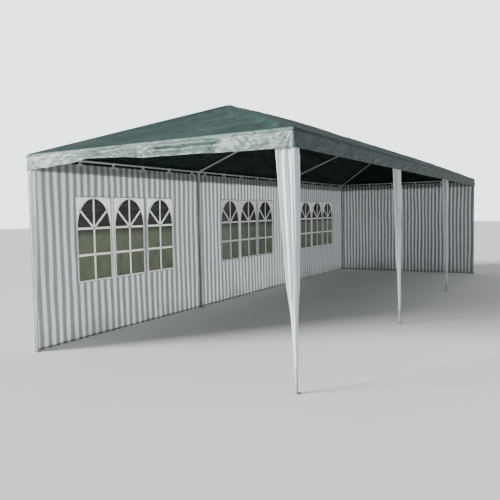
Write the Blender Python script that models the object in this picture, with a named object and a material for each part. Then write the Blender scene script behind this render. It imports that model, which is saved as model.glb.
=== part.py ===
"""A 3 by 9 metre party tent: a white tube frame, a hipped cover with its valance, and four side walls.

Metres, +Z up. The origin is on the ground under the middle of the tent. +Y runs along the 9 m length,
from the open end at -Y to the walled end at +Y. The wall with windows is at -X, the open side at +X.
"""

import math

import bmesh
import bpy
from mathutils import Vector

# Driving sizes of the frame: three bays along, one across
BAY = 3.0
BAYS = 3
HALF_WIDTH = 1.5
HALF_LENGTH = BAY * BAYS / 2
EAVE_Z = 2.04
RIDGE_Z = 2.605
HIP_RUN = 1.5
COMMON_RAFTER_Y = 1.5

# Steel tube and the sleeves that join it
TUBE_R = 0.0125
SLEEVE_WALL = 0.003
CLEARANCE = 0.0003
SOCKET_R = TUBE_R + CLEARANCE
SLEEVE_R = SOCKET_R + SLEEVE_WALL
SOCKET_START = 0.036
SLEEVE_LENGTH = 0.085
SIDES = 16

# Foot plates
FOOT_SIZE = 0.060
FOOT_THICK = 0.004

# Sheet material, modelled thicker than the real 0.2 mm tarpaulin
SHEET = 0.003
FILM = 0.001

# Cover: the flat slopes rest on the sleeves, the valance hangs outside the walls
SLOPE_RISE = RIDGE_Z - EAVE_Z
SLOPE_ANGLE = math.atan2(SLOPE_RISE, HALF_WIDTH)
WALL_IN = SLEEVE_R + CLEARANCE
WALL_OUT = WALL_IN + SHEET
VALANCE_IN = WALL_OUT + CLEARANCE
VALANCE_OUT = VALANCE_IN + SHEET
VALANCE_BOTTOM = 1.897

# Side walls
WALL_TOP = 2.005
WALL_BOTTOM = 0.020

# Windows: three arched openings in each long wall panel, closed by one clear film outside
WINDOW_COUNT = 3
WINDOW_PITCH = 0.605
WINDOW_HALF = 0.262
WINDOW_SILL = 0.665
WINDOW_SPRING = 1.270
WINDOW_RISE = 0.345
ARCH_STEPS = 14
FILM_MARGIN = 0.035

# Leg covers: tapered fabric sleeves, gathered on to the post at the bottom
COVER_TOP = 1.950
COVER_BOTTOM = 0.165
COVER_LEVELS = ((0.0, 0.0), (0.12, 0.06), (0.25, 0.18), (0.38, 0.42), (0.55, 0.56), (0.78, 0.78), (1.0, 1.0))
COVER_STEPS = 4

# Paint and cloth: colour, roughness, metallic, opacity
FINISHES = {
    "frame_paint": ((0.80, 0.82, 0.82), 0.35, 0.0, 1.0),
    "cover_green": ((0.035, 0.105, 0.088), 0.38, 0.0, 1.0),
    "wall_striped": ((0.40, 0.46, 0.44), 0.45, 0.0, 1.0),
    "window_film": ((0.70, 0.76, 0.74), 0.15, 0.0, 0.3),
    "leg_white": ((0.83, 0.87, 0.90), 0.45, 0.0, 1.0),
}


def clear_scene():
    """Remove what the scene already holds."""
    for obj in list(bpy.data.objects):
        bpy.data.objects.remove(obj, do_unlink=True)


def finish(name):
    """Return the named material, made on its first use."""
    material = bpy.data.materials.get(name)
    if material is None:
        colour, roughness, metallic, opacity = FINISHES[name]
        material = bpy.data.materials.new(name)
        material.use_nodes = True
        shader = material.node_tree.nodes["Principled BSDF"]
        shader.inputs["Base Color"].default_value = (*colour, 1.0)
        shader.inputs["Roughness"].default_value = roughness
        shader.inputs["Metallic"].default_value = metallic
        shader.inputs["Alpha"].default_value = opacity
    return material


def make_object(name, shape, material_name, smooth=False):
    """Turn a bmesh into a named object with its material."""
    bmesh.ops.recalc_face_normals(shape, faces=shape.faces)
    mesh = bpy.data.meshes.new(name)
    shape.to_mesh(mesh)
    shape.free()
    if smooth:
        mesh.shade_smooth()
        mesh.set_sharp_from_angle(angle=math.radians(35))
    obj = bpy.data.objects.new(name, mesh)
    obj.data.materials.append(finish(material_name))
    bpy.context.collection.objects.link(obj)
    return obj


def add_loft(shape, rings):
    """Skin a list of equal rings of points and close both ends."""
    loops = [[shape.verts.new(point) for point in ring] for ring in rings]
    count = len(loops[0])
    for lower, upper in zip(loops, loops[1:]):
        for i in range(count):
            j = (i + 1) % count
            shape.faces.new((lower[i], lower[j], upper[j], upper[i]))
    shape.faces.new(loops[0][::-1])
    shape.faces.new(loops[-1])


def cylinder_rings(start, end, radius):
    """Return the two end rings of a round bar between two points."""
    start, end = Vector(start), Vector(end)
    along = (end - start).normalized()
    side = along.cross(Vector((0, 0, 1)))
    if side.length < 0.1:
        side = Vector((0, 1, 0))
    side.normalize()
    up = side.cross(along)
    angles = [2 * math.pi * (i + 0.5) / SIDES for i in range(SIDES)]
    ring = [radius * (math.cos(a) * side + math.sin(a) * up) for a in angles]
    return [[start + offset for offset in ring], [end + offset for offset in ring]]


def bar(name, start, end, radius):
    """A round bar as a hidden helper or a finished tube."""
    shape = bmesh.new()
    add_loft(shape, cylinder_rings(start, end, radius))
    return make_object(name, shape, "frame_paint", smooth=True)


def boolean(target, other, operation):
    """Apply one exact Boolean and remove its helper."""
    modifier = target.modifiers.new(operation.lower(), "BOOLEAN")
    modifier.operation = operation
    modifier.object = other
    graph = bpy.context.evaluated_depsgraph_get()
    mesh = bpy.data.meshes.new_from_object(target.evaluated_get(graph))
    target.modifiers.clear()
    old = target.data
    target.data = mesh
    bpy.data.meshes.remove(old)
    bpy.data.objects.remove(other, do_unlink=True)


def towards(start, end):
    """Return the unit vector from one point to another."""
    return (Vector(end) - Vector(start)).normalized()


def sleeve_joint(name, centre, directions, tube_ends=()):
    """A welded connector: one sleeve per direction, each bored to take a tube.

    tube_ends holds directions whose tube is welded on and so needs no bore.
    """
    centre = Vector(centre)
    joint = None
    for number, direction in enumerate(list(directions) + list(tube_ends)):
        arm = bar(f"arm_{number}", centre, centre + direction * SLEEVE_LENGTH, SLEEVE_R)
        if joint is None:
            joint = arm
            joint.name = name
        else:
            boolean(joint, arm, "UNION")
    past = 0.01
    for number, direction in enumerate(directions):
        start = centre + direction * SOCKET_START
        bore = bar(f"bore_{number}", start, centre + direction * (SLEEVE_LENGTH + past), SOCKET_R)
        boolean(joint, bore, "DIFFERENCE")
    return joint


def tube_between(name, start, end):
    """A tube that ends just short of the bottom of the socket at each end."""
    along = towards(start, end) * (SOCKET_START + CLEARANCE)
    return bar(name, Vector(start) + along, Vector(end) - along, TUBE_R)


def post_places():
    """Return name, x, y of each post, from the open end to the walled end."""
    rows = ("front", "mid_front", "mid_back", "back")
    places = []
    for side, x in (("left", -HALF_WIDTH), ("right", HALF_WIDTH)):
        for index, row in enumerate(rows):
            places.append((f"{row}_{side}", x, -HALF_LENGTH + BAY * index))
    return places


def build_posts():
    """Eight posts, each with its foot plate welded on."""
    half = FOOT_SIZE / 2
    for name, x, y in post_places():
        post = bar(f"post_{name}", (x, y, FOOT_THICK / 2), (x, y, EAVE_Z - SOCKET_START - CLEARANCE), TUBE_R)
        shape = bmesh.new()
        corners = ((-half, -half), (half, -half), (half, half), (-half, half))
        add_loft(shape, [[(x + dx, y + dy, z) for dx, dy in corners] for z in (0.0, FOOT_THICK)])
        boolean(post, make_object("plate", shape, "frame_paint"), "UNION")


def ridge_end(y):
    """Return the ridge point that a corner at this y leans to."""
    return (0.0, math.copysign(HALF_LENGTH - HIP_RUN, y), RIDGE_Z)


def build_eaves():
    """Connectors on the posts and the tubes between them."""
    down = Vector((0, 0, -1))
    for name, x, y in post_places():
        centre = (x, y, EAVE_Z)
        directions = [down]
        corner = abs(y) > HALF_LENGTH - 0.01
        if y < HALF_LENGTH - 0.01:
            directions.append(Vector((0, 1, 0)))
        if y > -HALF_LENGTH + 0.01:
            directions.append(Vector((0, -1, 0)))
        if corner:
            directions.append(Vector((-math.copysign(1, x), 0, 0)))
            directions.append(towards(centre, ridge_end(y)))
        else:
            directions.append(towards(centre, (0, y, RIDGE_Z)))
        sleeve_joint(f"connector_{name}", centre, directions)
    for side, x in (("left", -HALF_WIDTH), ("right", HALF_WIDTH)):
        for index, bay in enumerate(("front", "middle", "back")):
            y = -HALF_LENGTH + BAY * index
            tube_between(f"eave_tube_{side}_{bay}", (x, y, EAVE_Z), (x, y + BAY, EAVE_Z))
    for end, y in (("front", -HALF_LENGTH), ("back", HALF_LENGTH)):
        tube_between(f"eave_tube_{end}", (-HALF_WIDTH, y, EAVE_Z), (HALF_WIDTH, y, EAVE_Z))


def build_ridge():
    """Three ridge tubes. Their rafter sleeves are welded on."""
    north, south = Vector((0, 1, 0)), Vector((0, -1, 0))
    middle = bar("ridge_middle", (0, -COMMON_RAFTER_Y, RIDGE_Z), (0, COMMON_RAFTER_Y, RIDGE_Z), TUBE_R)
    for y, outward, inward in ((-COMMON_RAFTER_Y, south, north), (COMMON_RAFTER_Y, north, south)):
        centre = (0, y, RIDGE_Z)
        rafters = [towards(centre, (x, y, EAVE_Z)) for x in (-HALF_WIDTH, HALF_WIDTH)]
        boolean(middle, sleeve_joint("cross", centre, rafters + [outward], [inward]), "UNION")
    for name, sign, inward in (("ridge_front", -1, north), ("ridge_back", 1, south)):
        end = Vector(ridge_end(sign))
        start = Vector((0, sign * (COMMON_RAFTER_Y + SOCKET_START + CLEARANCE), RIDGE_Z))
        tube = bar(name, start, end, TUBE_R)
        hips = [towards(end, (x, sign * HALF_LENGTH, EAVE_Z)) for x in (-HALF_WIDTH, HALF_WIDTH)]
        boolean(tube, sleeve_joint("cross", end, hips, [inward]), "UNION")


def build_rafters():
    """Four hip rafters from the corners and four common rafters from the middle posts."""
    for name, x, y in post_places():
        eave = (x, y, EAVE_Z)
        if abs(y) > HALF_LENGTH - 0.01:
            tube_between(f"hip_rafter_{name}", eave, ridge_end(y))
        else:
            tube_between(f"rafter_{name}", eave, (0, y, RIDGE_Z))


def slope_z(offset, outer):
    """Height of the cover at a distance outside the eave axis, negative towards the ridge."""
    lift = WALL_IN + (SHEET if outer else 0.0)
    return EAVE_Z + lift / math.cos(SLOPE_ANGLE) - offset * math.tan(SLOPE_ANGLE)


def place(run, across, z, side):
    """Map a point of a section to the side of the tent that it belongs to.

    run is the distance out from the ridge line or ridge end, across is along that side.
    """
    if side == "left":
        return (-run, across, z)
    if side == "right":
        return (run, across, z)
    ridge_half = HALF_LENGTH - HIP_RUN
    return (across, (-1 if side == "front" else 1) * (ridge_half + run), z)


def mitred_strip(name, section, side):
    """Run a section along one side of the cover, its ends cut on the hip lines."""
    gap = CLEARANCE * 0.75
    half_extra = HALF_LENGTH - HIP_RUN if side in ("left", "right") else 0.0
    shape = bmesh.new()
    rings = []
    for end in (-1, 1):
        rings.append([place(run, end * max(run + half_extra - gap, 0.0), z, side) for run, z in section])
    add_loft(shape, rings)
    bmesh.ops.remove_doubles(shape, verts=shape.verts, dist=1e-6)
    bmesh.ops.dissolve_degenerate(shape, edges=shape.edges, dist=1e-6)
    return make_object(name, shape, "cover_green")


def build_cover():
    """The cover: four slopes, and a valance sewn on below each."""
    outer = HALF_WIDTH + VALANCE_OUT
    inner = HALF_WIDTH + VALANCE_IN
    for side in ("left", "right", "front", "back"):
        start = CLEARANCE / 2 if side in ("left", "right") else CLEARANCE * 0.75
        runs = (start, outer)
        section = [(run, slope_z(run - HALF_WIDTH, True)) for run in runs]
        section += [(run, slope_z(run - HALF_WIDTH, False)) for run in reversed(runs)]
        mitred_strip(f"roof_{side}", section, side)
        seam = CLEARANCE / math.cos(SLOPE_ANGLE)
        section = [(run, slope_z(run - HALF_WIDTH, False) - seam) for run in (inner, outer)]
        section += [(outer, VALANCE_BOTTOM), (inner, VALANCE_BOTTOM)]
        mitred_strip(f"valance_{side}", section, side)


def box(name, low, high, material_name):
    """A plain sheet between two corners."""
    (x0, y0, z0), (x1, y1, z1) = low, high
    shape = bmesh.new()
    add_loft(shape, [[(x0, y0, z), (x1, y0, z), (x1, y1, z), (x0, y1, z)] for z in (z0, z1)])
    return make_object(name, shape, material_name)


def window_outline(centre):
    """Points of one arched opening, as distance along the wall and height."""
    points = [(centre - WINDOW_HALF, WINDOW_SILL), (centre + WINDOW_HALF, WINDOW_SILL)]
    for step in range(ARCH_STEPS + 1):
        angle = math.pi * step / ARCH_STEPS
        along = centre + WINDOW_HALF * math.cos(angle)
        points.append((along, WINDOW_SPRING + WINDOW_RISE * math.sin(angle)))
    return points


def build_walls():
    """Three wall panels with windows, their films, and the plain wall at the far end."""
    face_in = -(HALF_WIDTH + WALL_IN)
    face_out = -(HALF_WIDTH + WALL_OUT)
    past = 0.01
    for index, bay in enumerate(("front", "middle", "back")):
        y0 = -HALF_LENGTH + BAY * index
        y1 = y0 + BAY
        low = y0 + CLEARANCE / 2 if index else y0 - TUBE_R
        high = y1 - CLEARANCE / 2 if index < BAYS - 1 else y1 + WALL_IN - CLEARANCE
        wall = box(f"wall_left_{bay}", (face_out, low, WALL_BOTTOM), (face_in, high, WALL_TOP), "wall_striped")
        middle = (y0 + y1) / 2
        for number in range(WINDOW_COUNT):
            centre = middle + (number - (WINDOW_COUNT - 1) / 2) * WINDOW_PITCH
            outline = window_outline(centre)
            shape = bmesh.new()
            add_loft(shape, [[(x, y, z) for y, z in outline] for x in (face_out - past, face_in + past)])
            boolean(wall, make_object("cutter", shape, "wall_striped"), "DIFFERENCE")
        reach = WINDOW_PITCH + WINDOW_HALF + FILM_MARGIN
        outside = face_out - CLEARANCE
        low_corner = (outside - FILM, middle - reach, WINDOW_SILL - FILM_MARGIN)
        high_corner = (outside, middle + reach, WINDOW_SPRING + WINDOW_RISE + FILM_MARGIN)
        box(f"window_film_{bay}", low_corner, high_corner, "window_film")
    end_in = HALF_LENGTH + WALL_IN
    end_out = HALF_LENGTH + WALL_OUT
    box("wall_back", (face_out, end_in, WALL_BOTTOM), (HALF_WIDTH + TUBE_R, end_out, WALL_TOP), "wall_striped")


def cover_reach(x, y):
    """How far a leg cover's top reaches from its post towards -X, +X, -Y and +Y."""
    out = SLEEVE_R
    front = y < 0
    corner = abs(y) > HALF_LENGTH - 0.01
    inwards = 0.165 if corner and x > 0 else 0.075
    along = 0.100 if corner and x > 0 else 0.060
    reach_x = (out, inwards) if x < 0 else (inwards, out)
    if not corner:
        return reach_x + (along, along)
    return reach_x + ((out, along) if front else (along, out))


def cover_ring(x, y, z, growth, inner):
    """One level of a leg cover: quarter ellipses that meet on the axes."""
    tight = SOCKET_R if inner else SLEEVE_R
    slack = 0.0 if inner else SHEET
    west, east, south, north = (
        max(tight, SLEEVE_R + growth * (reach - SLEEVE_R) - (SHEET - slack)) for reach in cover_reach(x, y)
    )
    points = []
    for step in range(4 * COVER_STEPS):
        angle = 2 * math.pi * step / (4 * COVER_STEPS)
        across, along = math.cos(angle), math.sin(angle)
        points.append((x + across * (east if across > 0 else west), y + along * (north if along > 0 else south), z))
    return points


def stands_at_wall(x, y):
    """Tell whether a wall hangs along this post, which then has no leg cover."""
    return y > HALF_LENGTH - 0.01 or (x < 0 and y > -HALF_LENGTH + 0.01)


def build_leg_covers():
    """A tapered shell round each post of the open sides, open at its top and bottom."""
    height = COVER_TOP - COVER_BOTTOM
    for name, x, y in post_places():
        if stands_at_wall(x, y):
            continue
        shape = bmesh.new()
        walls = []
        for inner in (False, True):
            rings = [cover_ring(x, y, COVER_BOTTOM + height * up, growth, inner) for up, growth in COVER_LEVELS]
            loops = [[shape.verts.new(point) for point in ring] for ring in rings]
            walls.append(loops)
            for lower, upper in zip(loops, loops[1:]):
                skin(shape, lower, upper)
        for level in (0, -1):
            skin(shape, walls[0][level], walls[1][level])
        make_object(f"leg_cover_{name}", shape, "leg_white", smooth=True)


def skin(shape, lower, upper):
    """Join two loops of vertices with quads."""
    count = len(lower)
    for i in range(count):
        j = (i + 1) % count
        shape.faces.new((lower[i], lower[j], upper[j], upper[i]))


def main():
    """Build the tent from the ground up."""
    clear_scene()
    build_posts()
    build_eaves()
    build_ridge()
    build_rafters()
    build_cover()
    build_walls()
    build_leg_covers()


main()
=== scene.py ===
"""The looks of a 3 by 9 metre party tent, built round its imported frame.

Metres, +Z up. The open end is at -Y, the walled end at +Y, the window walls at -X, the open side at +X.
"""

import logging
import math
from collections.abc import Callable, Iterable, Sequence
from dataclasses import dataclass, field
from enum import Enum

import bmesh
import bpy
from mathutils import Matrix, Vector, noise


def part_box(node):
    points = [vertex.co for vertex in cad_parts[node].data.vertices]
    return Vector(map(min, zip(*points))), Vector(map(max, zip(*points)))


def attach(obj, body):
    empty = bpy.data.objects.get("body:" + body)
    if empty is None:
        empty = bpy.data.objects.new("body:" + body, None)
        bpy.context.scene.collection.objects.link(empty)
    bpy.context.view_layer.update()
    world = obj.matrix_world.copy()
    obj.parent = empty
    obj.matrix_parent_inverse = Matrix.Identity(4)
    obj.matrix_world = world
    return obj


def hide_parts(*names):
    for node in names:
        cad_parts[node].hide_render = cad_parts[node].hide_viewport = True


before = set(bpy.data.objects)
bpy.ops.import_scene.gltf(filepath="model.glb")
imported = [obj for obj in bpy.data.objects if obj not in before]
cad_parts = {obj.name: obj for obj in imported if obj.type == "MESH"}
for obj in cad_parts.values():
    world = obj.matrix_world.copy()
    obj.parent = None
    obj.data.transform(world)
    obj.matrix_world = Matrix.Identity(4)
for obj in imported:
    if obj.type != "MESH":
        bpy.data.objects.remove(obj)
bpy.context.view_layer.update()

Point = tuple[float, float, float]
Pair = tuple[float, float]
Test = Callable[[Vector, Vector], bool]
Place = Callable[[float, float], Vector]

log = logging.getLogger("tent")

# Named sizes that the frame's boxes do not give
SOCKET_START = 0.0363
SLEEVE_WALL = 0.003
SLEEVE_LENGTH = 0.085
FOOT_THICK = 0.004
BAYS = 3
RIDGE_HALF = 3.0
# The name of the UV map that lays each sheet out flat, in metres
CLOTH_MAP = "cloth"
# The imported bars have 16 sides, and this factor turns their width across flats into that of a round tube
FACET_GROWTH = 1.0 / math.cos(math.pi / 16)
# The groove where two lengths of tube are pushed together, and the lip of sleeves and plates
SWAGE_HALF = 0.0015
SWAGE_SINK = 0.0007
POST_SWAGE_Z = 1.02
LIP = 0.0008
# Directions
UP = Vector((0.0, 0.0, 1.0))
DOWN = Vector((0.0, 0.0, -1.0))
NORTH = Vector((0.0, 1.0, 0.0))
EAST = Vector((1.0, 0.0, 0.0))


class Side(Enum):
    """The four sides of the tent, with the direction that each one faces."""

    FRONT = (0.0, -1.0)
    RIGHT = (1.0, 0.0)
    BACK = (0.0, 1.0)
    LEFT = (-1.0, 0.0)


# A column of points that all rings share: its side, its share along the side, its turn into the next side
Column = tuple[Side, float, float]


def smooth_step(low: float, high: float, value: float) -> float:
    """Ease from 0 to 1 between two values.

    Args:
        low: where the result starts to leave 0.
        high: where the result reaches 1.
        value: the value to ease.

    Returns:
        A share from 0 to 1.
    """
    share = min(1.0, max(0.0, (value - low) / (high - low)))
    return share * share * (3.0 - 2.0 * share)


def through(knots: Sequence[Pair], value: float, eased: bool = True) -> float:
    """Follow a line through a few chosen knots.

    Args:
        knots: pairs of place and amount, in order of place.
        value: the place to read.
        eased: whether the line is smooth at its knots, in place of straight between them.

    Returns:
        The amount at that place.
    """
    if value <= knots[0][0]:
        return knots[0][1]
    for (left, low), (right, high) in zip(knots, knots[1:]):
        if value <= right:
            share = smooth_step(left, right, value) if eased else (value - left) / (right - left)
            return low + (high - low) * share
    return knots[-1][1]


def bell(distance: float, width: float) -> float:
    """Return a soft hump that is 1 at no distance and fades over a width."""
    return math.exp(-((distance / width) ** 2))


def ridged(x: float, y: float, z: float) -> float:
    """Return folded noise, from 0 in its creases to about 1 on its flats."""
    return min(1.0, abs(noise.noise(Vector((x, y, z)))) * 2.2)


def scaled(colour: Point, factor: float, lift: float = 0.0) -> Point:
    """Return a colour made lighter or darker."""
    return tuple(min(1.0, part * factor + lift) for part in colour)


def spread(low: float, high: float, step: float) -> list[float]:
    """Return even places from one value to another, no further apart than a step."""
    count = max(1, math.ceil((high - low) / step - 1e-9))
    return [low + (high - low) * i / count for i in range(count + 1)]


def stops(edges: Sequence[float], step: float) -> list[float]:
    """List even places that also fall on each of the given edges.

    Args:
        edges: the places that have to be in the list, in order.
        step: the greatest distance between two places.

    Returns:
        The places, in order.
    """
    places = [edges[0]]
    for low, high in zip(edges, edges[1:]):
        places += spread(low, high, step)[1:]
    return places


@dataclass(frozen=True)
class Layout:
    """The main sizes of the tent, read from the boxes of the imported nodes."""

    half_width: float
    half_length: float
    eave_z: float
    ridge_z: float
    tube_r: float
    sleeve_r: float
    wall_top: float
    wall_bottom: float
    wall_mid: float
    valance_bottom: float
    valance_out: float
    foot_size: float

    @classmethod
    def from_frame(cls) -> "Layout":
        """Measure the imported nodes.

        Returns:
            The sizes that every sub-assembly is built from.
        """
        post_low, post_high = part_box("post_front_left")
        tube_low, tube_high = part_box("eave_tube_left_middle")
        rafter_low, rafter_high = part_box("rafter_mid_front_left")
        joint_low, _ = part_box("connector_mid_front_left")
        wall_low, wall_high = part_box("wall_left_middle")
        valance_low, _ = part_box("valance_left")
        centre = (post_low + post_high) / 2
        eave_z = (tube_low.z + tube_high.z) / 2
        return cls(
            half_width=-centre.x,
            half_length=-centre.y,
            eave_z=eave_z,
            ridge_z=rafter_low.z + rafter_high.z - eave_z,
            tube_r=(tube_high.z - tube_low.z) / 2 * FACET_GROWTH,
            sleeve_r=(centre.x - joint_low.x) * FACET_GROWTH,
            wall_top=wall_high.z,
            wall_bottom=wall_low.z,
            wall_mid=-(wall_low.x + wall_high.x) / 2,
            valance_bottom=valance_low.z,
            valance_out=-valance_low.x,
            foot_size=post_high.x - post_low.x,
        )

    @property
    def slope_angle(self) -> float:
        """Return the pitch of the cover in radians."""
        return math.atan2(self.ridge_z - self.eave_z, self.half_width)

    @property
    def ridge_half(self) -> float:
        """Return half the length of the ridge, whose ends carry the hip rafters."""
        return self.half_length - self.half_width

    @property
    def bay(self) -> float:
        """Return the length of one of the three bays."""
        return self.half_length * 2 / BAYS

    @property
    def around(self) -> float:
        """Return the length of the eave all round the tent."""
        return 4 * (self.half_width + self.half_length)

    @property
    def corners(self) -> tuple[float, ...]:
        """Return the distance round the eave of each corner, with the first one again at the end."""
        width, length = 2 * self.half_width, 2 * self.half_length
        return 0.0, width, width + length, 2 * width + length, 2 * (width + length)

    def post_rows(self) -> list[tuple[str, float]]:
        """Return the name and y of each row of posts, from the open end."""
        rows = ("front", "mid_front", "mid_back", "back")
        return [(row, -self.half_length + self.bay * index) for index, row in enumerate(rows)]

    def posts(self) -> list[tuple[str, float, float]]:
        """Return the name, x and y of each post."""
        sides = (("left", -self.half_width), ("right", self.half_width))
        return [(f"{row}_{side}", x, y) for side, x in sides for row, y in self.post_rows()]


class Recipe:
    """One material's node tree, written step by step."""

    def __init__(self, name: str) -> None:
        """Start a material with its shader and output.

        Args:
            name: the material's name.
        """
        self.material = bpy.data.materials.new(name)
        self.material.use_nodes = True
        self.tree = self.material.node_tree
        self.shader = self.tree.nodes["Principled BSDF"]
        self.output = self.tree.nodes["Material Output"]

    def wire(self, value: object, socket: bpy.types.NodeSocket) -> None:
        """Feed a socket from another socket, or set it to a plain value.

        Args:
            value: an output socket, a number, a colour or a vector.
            socket: the input that takes it.
        """
        if isinstance(value, bpy.types.NodeSocket):
            self.tree.links.new(value, socket)
        elif value is not None:
            socket.default_value = value

    def node(self, kind: str, **inputs: object) -> bpy.types.Node:
        """Add a node.

        Args:
            kind: the kind of node, such as Bump.
            inputs: what its inputs are fed with, by name.

        Returns:
            The node.
        """
        node = self.tree.nodes.new(f"ShaderNode{kind}")
        for name, value in inputs.items():
            self.wire(value, node.inputs[name])
        return node

    def math(self, operation: str, first: object, second: object = None) -> object:
        """Add a Math node.

        Args:
            operation: the node's operation, such as MULTIPLY.
            first: its first value.
            second: its second value, where it takes one.

        Returns:
            The node's output socket.
        """
        node = self.node("Math")
        node.operation = operation
        for value, socket in zip((first, second), node.inputs):
            self.wire(value, socket)
        return node.outputs[0]

    def times(self, first: object, second: object) -> object:
        """Multiply two values."""
        return self.math("MULTIPLY", first, second)

    def away(self, first: object, second: object) -> object:
        """Return how far apart two values are."""
        return self.math("ABSOLUTE", self.math("SUBTRACT", first, second))

    def weave(self, first: object, second: object, pitch: float) -> object:
        """Raise crossing waves, as woven tapes do.

        Args:
            first: the place across the first waves.
            second: the place across the second waves.
            pitch: the length of a wave.

        Returns:
            A height from -1 to 1.
        """
        waves = [self.math("SINE", self.times(item, math.tau / pitch)) for item in (first, second)]
        return self.times(*waves)

    def place(self, uv: bool = False) -> object:
        """Find the coordinates of a point in metres.

        Args:
            uv: whether they are those on the flat cloth, in place of those on the piece.

        Returns:
            The coordinates.
        """
        if not uv:
            return self.node("TexCoord").outputs["Object"]
        node = self.node("UVMap")
        node.uv_map = CLOTH_MAP
        return node.outputs["UV"]

    def stretch(self, vector: object, scale: Point, turn: float = 0.0) -> object:
        """Scale coordinates along each axis after an optional turn about Z.

        Args:
            vector: the coordinates.
            scale: the factor for each axis.
            turn: an angle in radians.

        Returns:
            The new coordinates.
        """
        return self.node("Mapping", Vector=vector, Scale=scale, Rotation=(0.0, 0.0, turn)).outputs[0]

    def split(self, vector: object) -> Sequence[object]:
        """Return the three parts of a vector."""
        return self.node("SeparateXYZ", Vector=vector).outputs

    def mottle(self, vector: object, scale: float, detail: float = 3.0, distortion: float = 0.0) -> object:
        """Add soft noise.

        Args:
            vector: the coordinates.
            scale: how many features there are in a metre.
            detail: how many finer layers are added.
            distortion: how much the noise bends itself.

        Returns:
            A value round 0.5.
        """
        node = self.node("TexNoise", Vector=vector, Scale=scale, Detail=detail, Distortion=distortion)
        return node.outputs["Fac"]

    def creases(self, vector: object, scale: float, width: float) -> object:
        """Add a net of thin creases round cells of random shape.

        Args:
            vector: the coordinates.
            scale: how many cells there are in a metre.
            width: how wide a crease is, as a share of a cell.

        Returns:
            1 on a crease and 0 between creases.
        """
        node = self.node("TexVoronoi", Vector=vector, Scale=scale)
        node.feature = "DISTANCE_TO_EDGE"
        return self.fade(node.outputs["Distance"], 0.0, width, 1.0, 0.0)

    def facets(self, vector: object, scale: float) -> object:
        """Add cone-shaped facets, as stiff sheet makes when it is crumpled.

        Args:
            vector: the coordinates.
            scale: how many facets there are in a metre.

        Returns:
            0 at the tip of a facet and more away from it.
        """
        return self.node("TexVoronoi", Vector=vector, Scale=scale).outputs["Distance"]

    def fade(self, value: object, low: float, high: float, start: float, end: float) -> object:
        """Map a range of values to another with soft ends.

        Args:
            value: the value to map.
            low: where the range starts.
            high: where the range ends.
            start: the result at its start.
            end: the result at its end.

        Returns:
            The mapped value.
        """
        node = self.node("MapRange")
        node.interpolation_type = "SMOOTHSTEP"
        for number, item in enumerate((value, low, high, start, end)):
            self.wire(item, node.inputs[number])
        return node.outputs[0]

    def line_every(self, value: object, pitch: float, width: float) -> object:
        """Mark a soft line at every multiple of a pitch.

        Args:
            value: the place across the lines.
            pitch: the distance between two lines.
            width: how far a line fades on each side.

        Returns:
            1 on a line and 0 between lines.
        """
        gap = self.math("PINGPONG", value, pitch / 2)
        return self.fade(gap, 0.0, width, 1.0, 0.0)

    def blend(self, share: object, first: object, second: object) -> object:
        """Mix two colours.

        Args:
            share: how much of the second colour shows.
            first: the first colour.
            second: the second colour.

        Returns:
            The mixed colour.
        """
        node = self.node("Mix")
        node.data_type = "RGBA"
        self.wire(share, node.inputs[0])
        for value, socket in ((first, node.inputs[6]), (second, node.inputs[7])):
            self.wire((*value, 1.0) if isinstance(value, tuple) else value, socket)
        return node.outputs[2]

    def total(self, *terms: tuple[object, float]) -> object:
        """Add up several values.

        Args:
            terms: each value with its weight.

        Returns:
            The sum.
        """
        result = None
        for value, weight in terms:
            part = self.times(value, weight)
            result = part if result is None else self.math("ADD", result, part)
        return result

    def relief(self, *heights: tuple[object, float]) -> None:
        """Give the surface a bump.

        Args:
            heights: each pattern of the bump with its height in metres.
        """
        bump = self.node("Bump", Distance=1.0, Strength=1.0, Height=self.total(*heights))
        self.wire(bump.outputs[0], self.shader.inputs["Normal"])

    def let_light_through(self, colour: object, share: float) -> None:
        """Let part of the light pass through the cloth.

        Args:
            colour: the colour of the light that passes.
            share: the share of the surface that passes light.
        """
        passed = self.node("BsdfTranslucent", Color=colour)
        mixer = self.node("MixShader")
        for value, socket in zip((share, self.shader.outputs[0], passed.outputs[0]), mixer.inputs):
            self.wire(value, socket)
        self.wire(mixer.outputs[0], self.output.inputs["Surface"])

    def surface(self, **sockets: object) -> bpy.types.Material:
        """Feed the shader's sockets, with words in a name joined by underscores.

        Args:
            sockets: socket names with a value or a socket for each.

        Returns:
            The finished material.
        """
        for name, value in sockets.items():
            socket = next(s for s in self.shader.inputs if s.name.lower().replace(" ", "_") == name)
            self.wire(value, socket)
        return self.material


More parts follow.
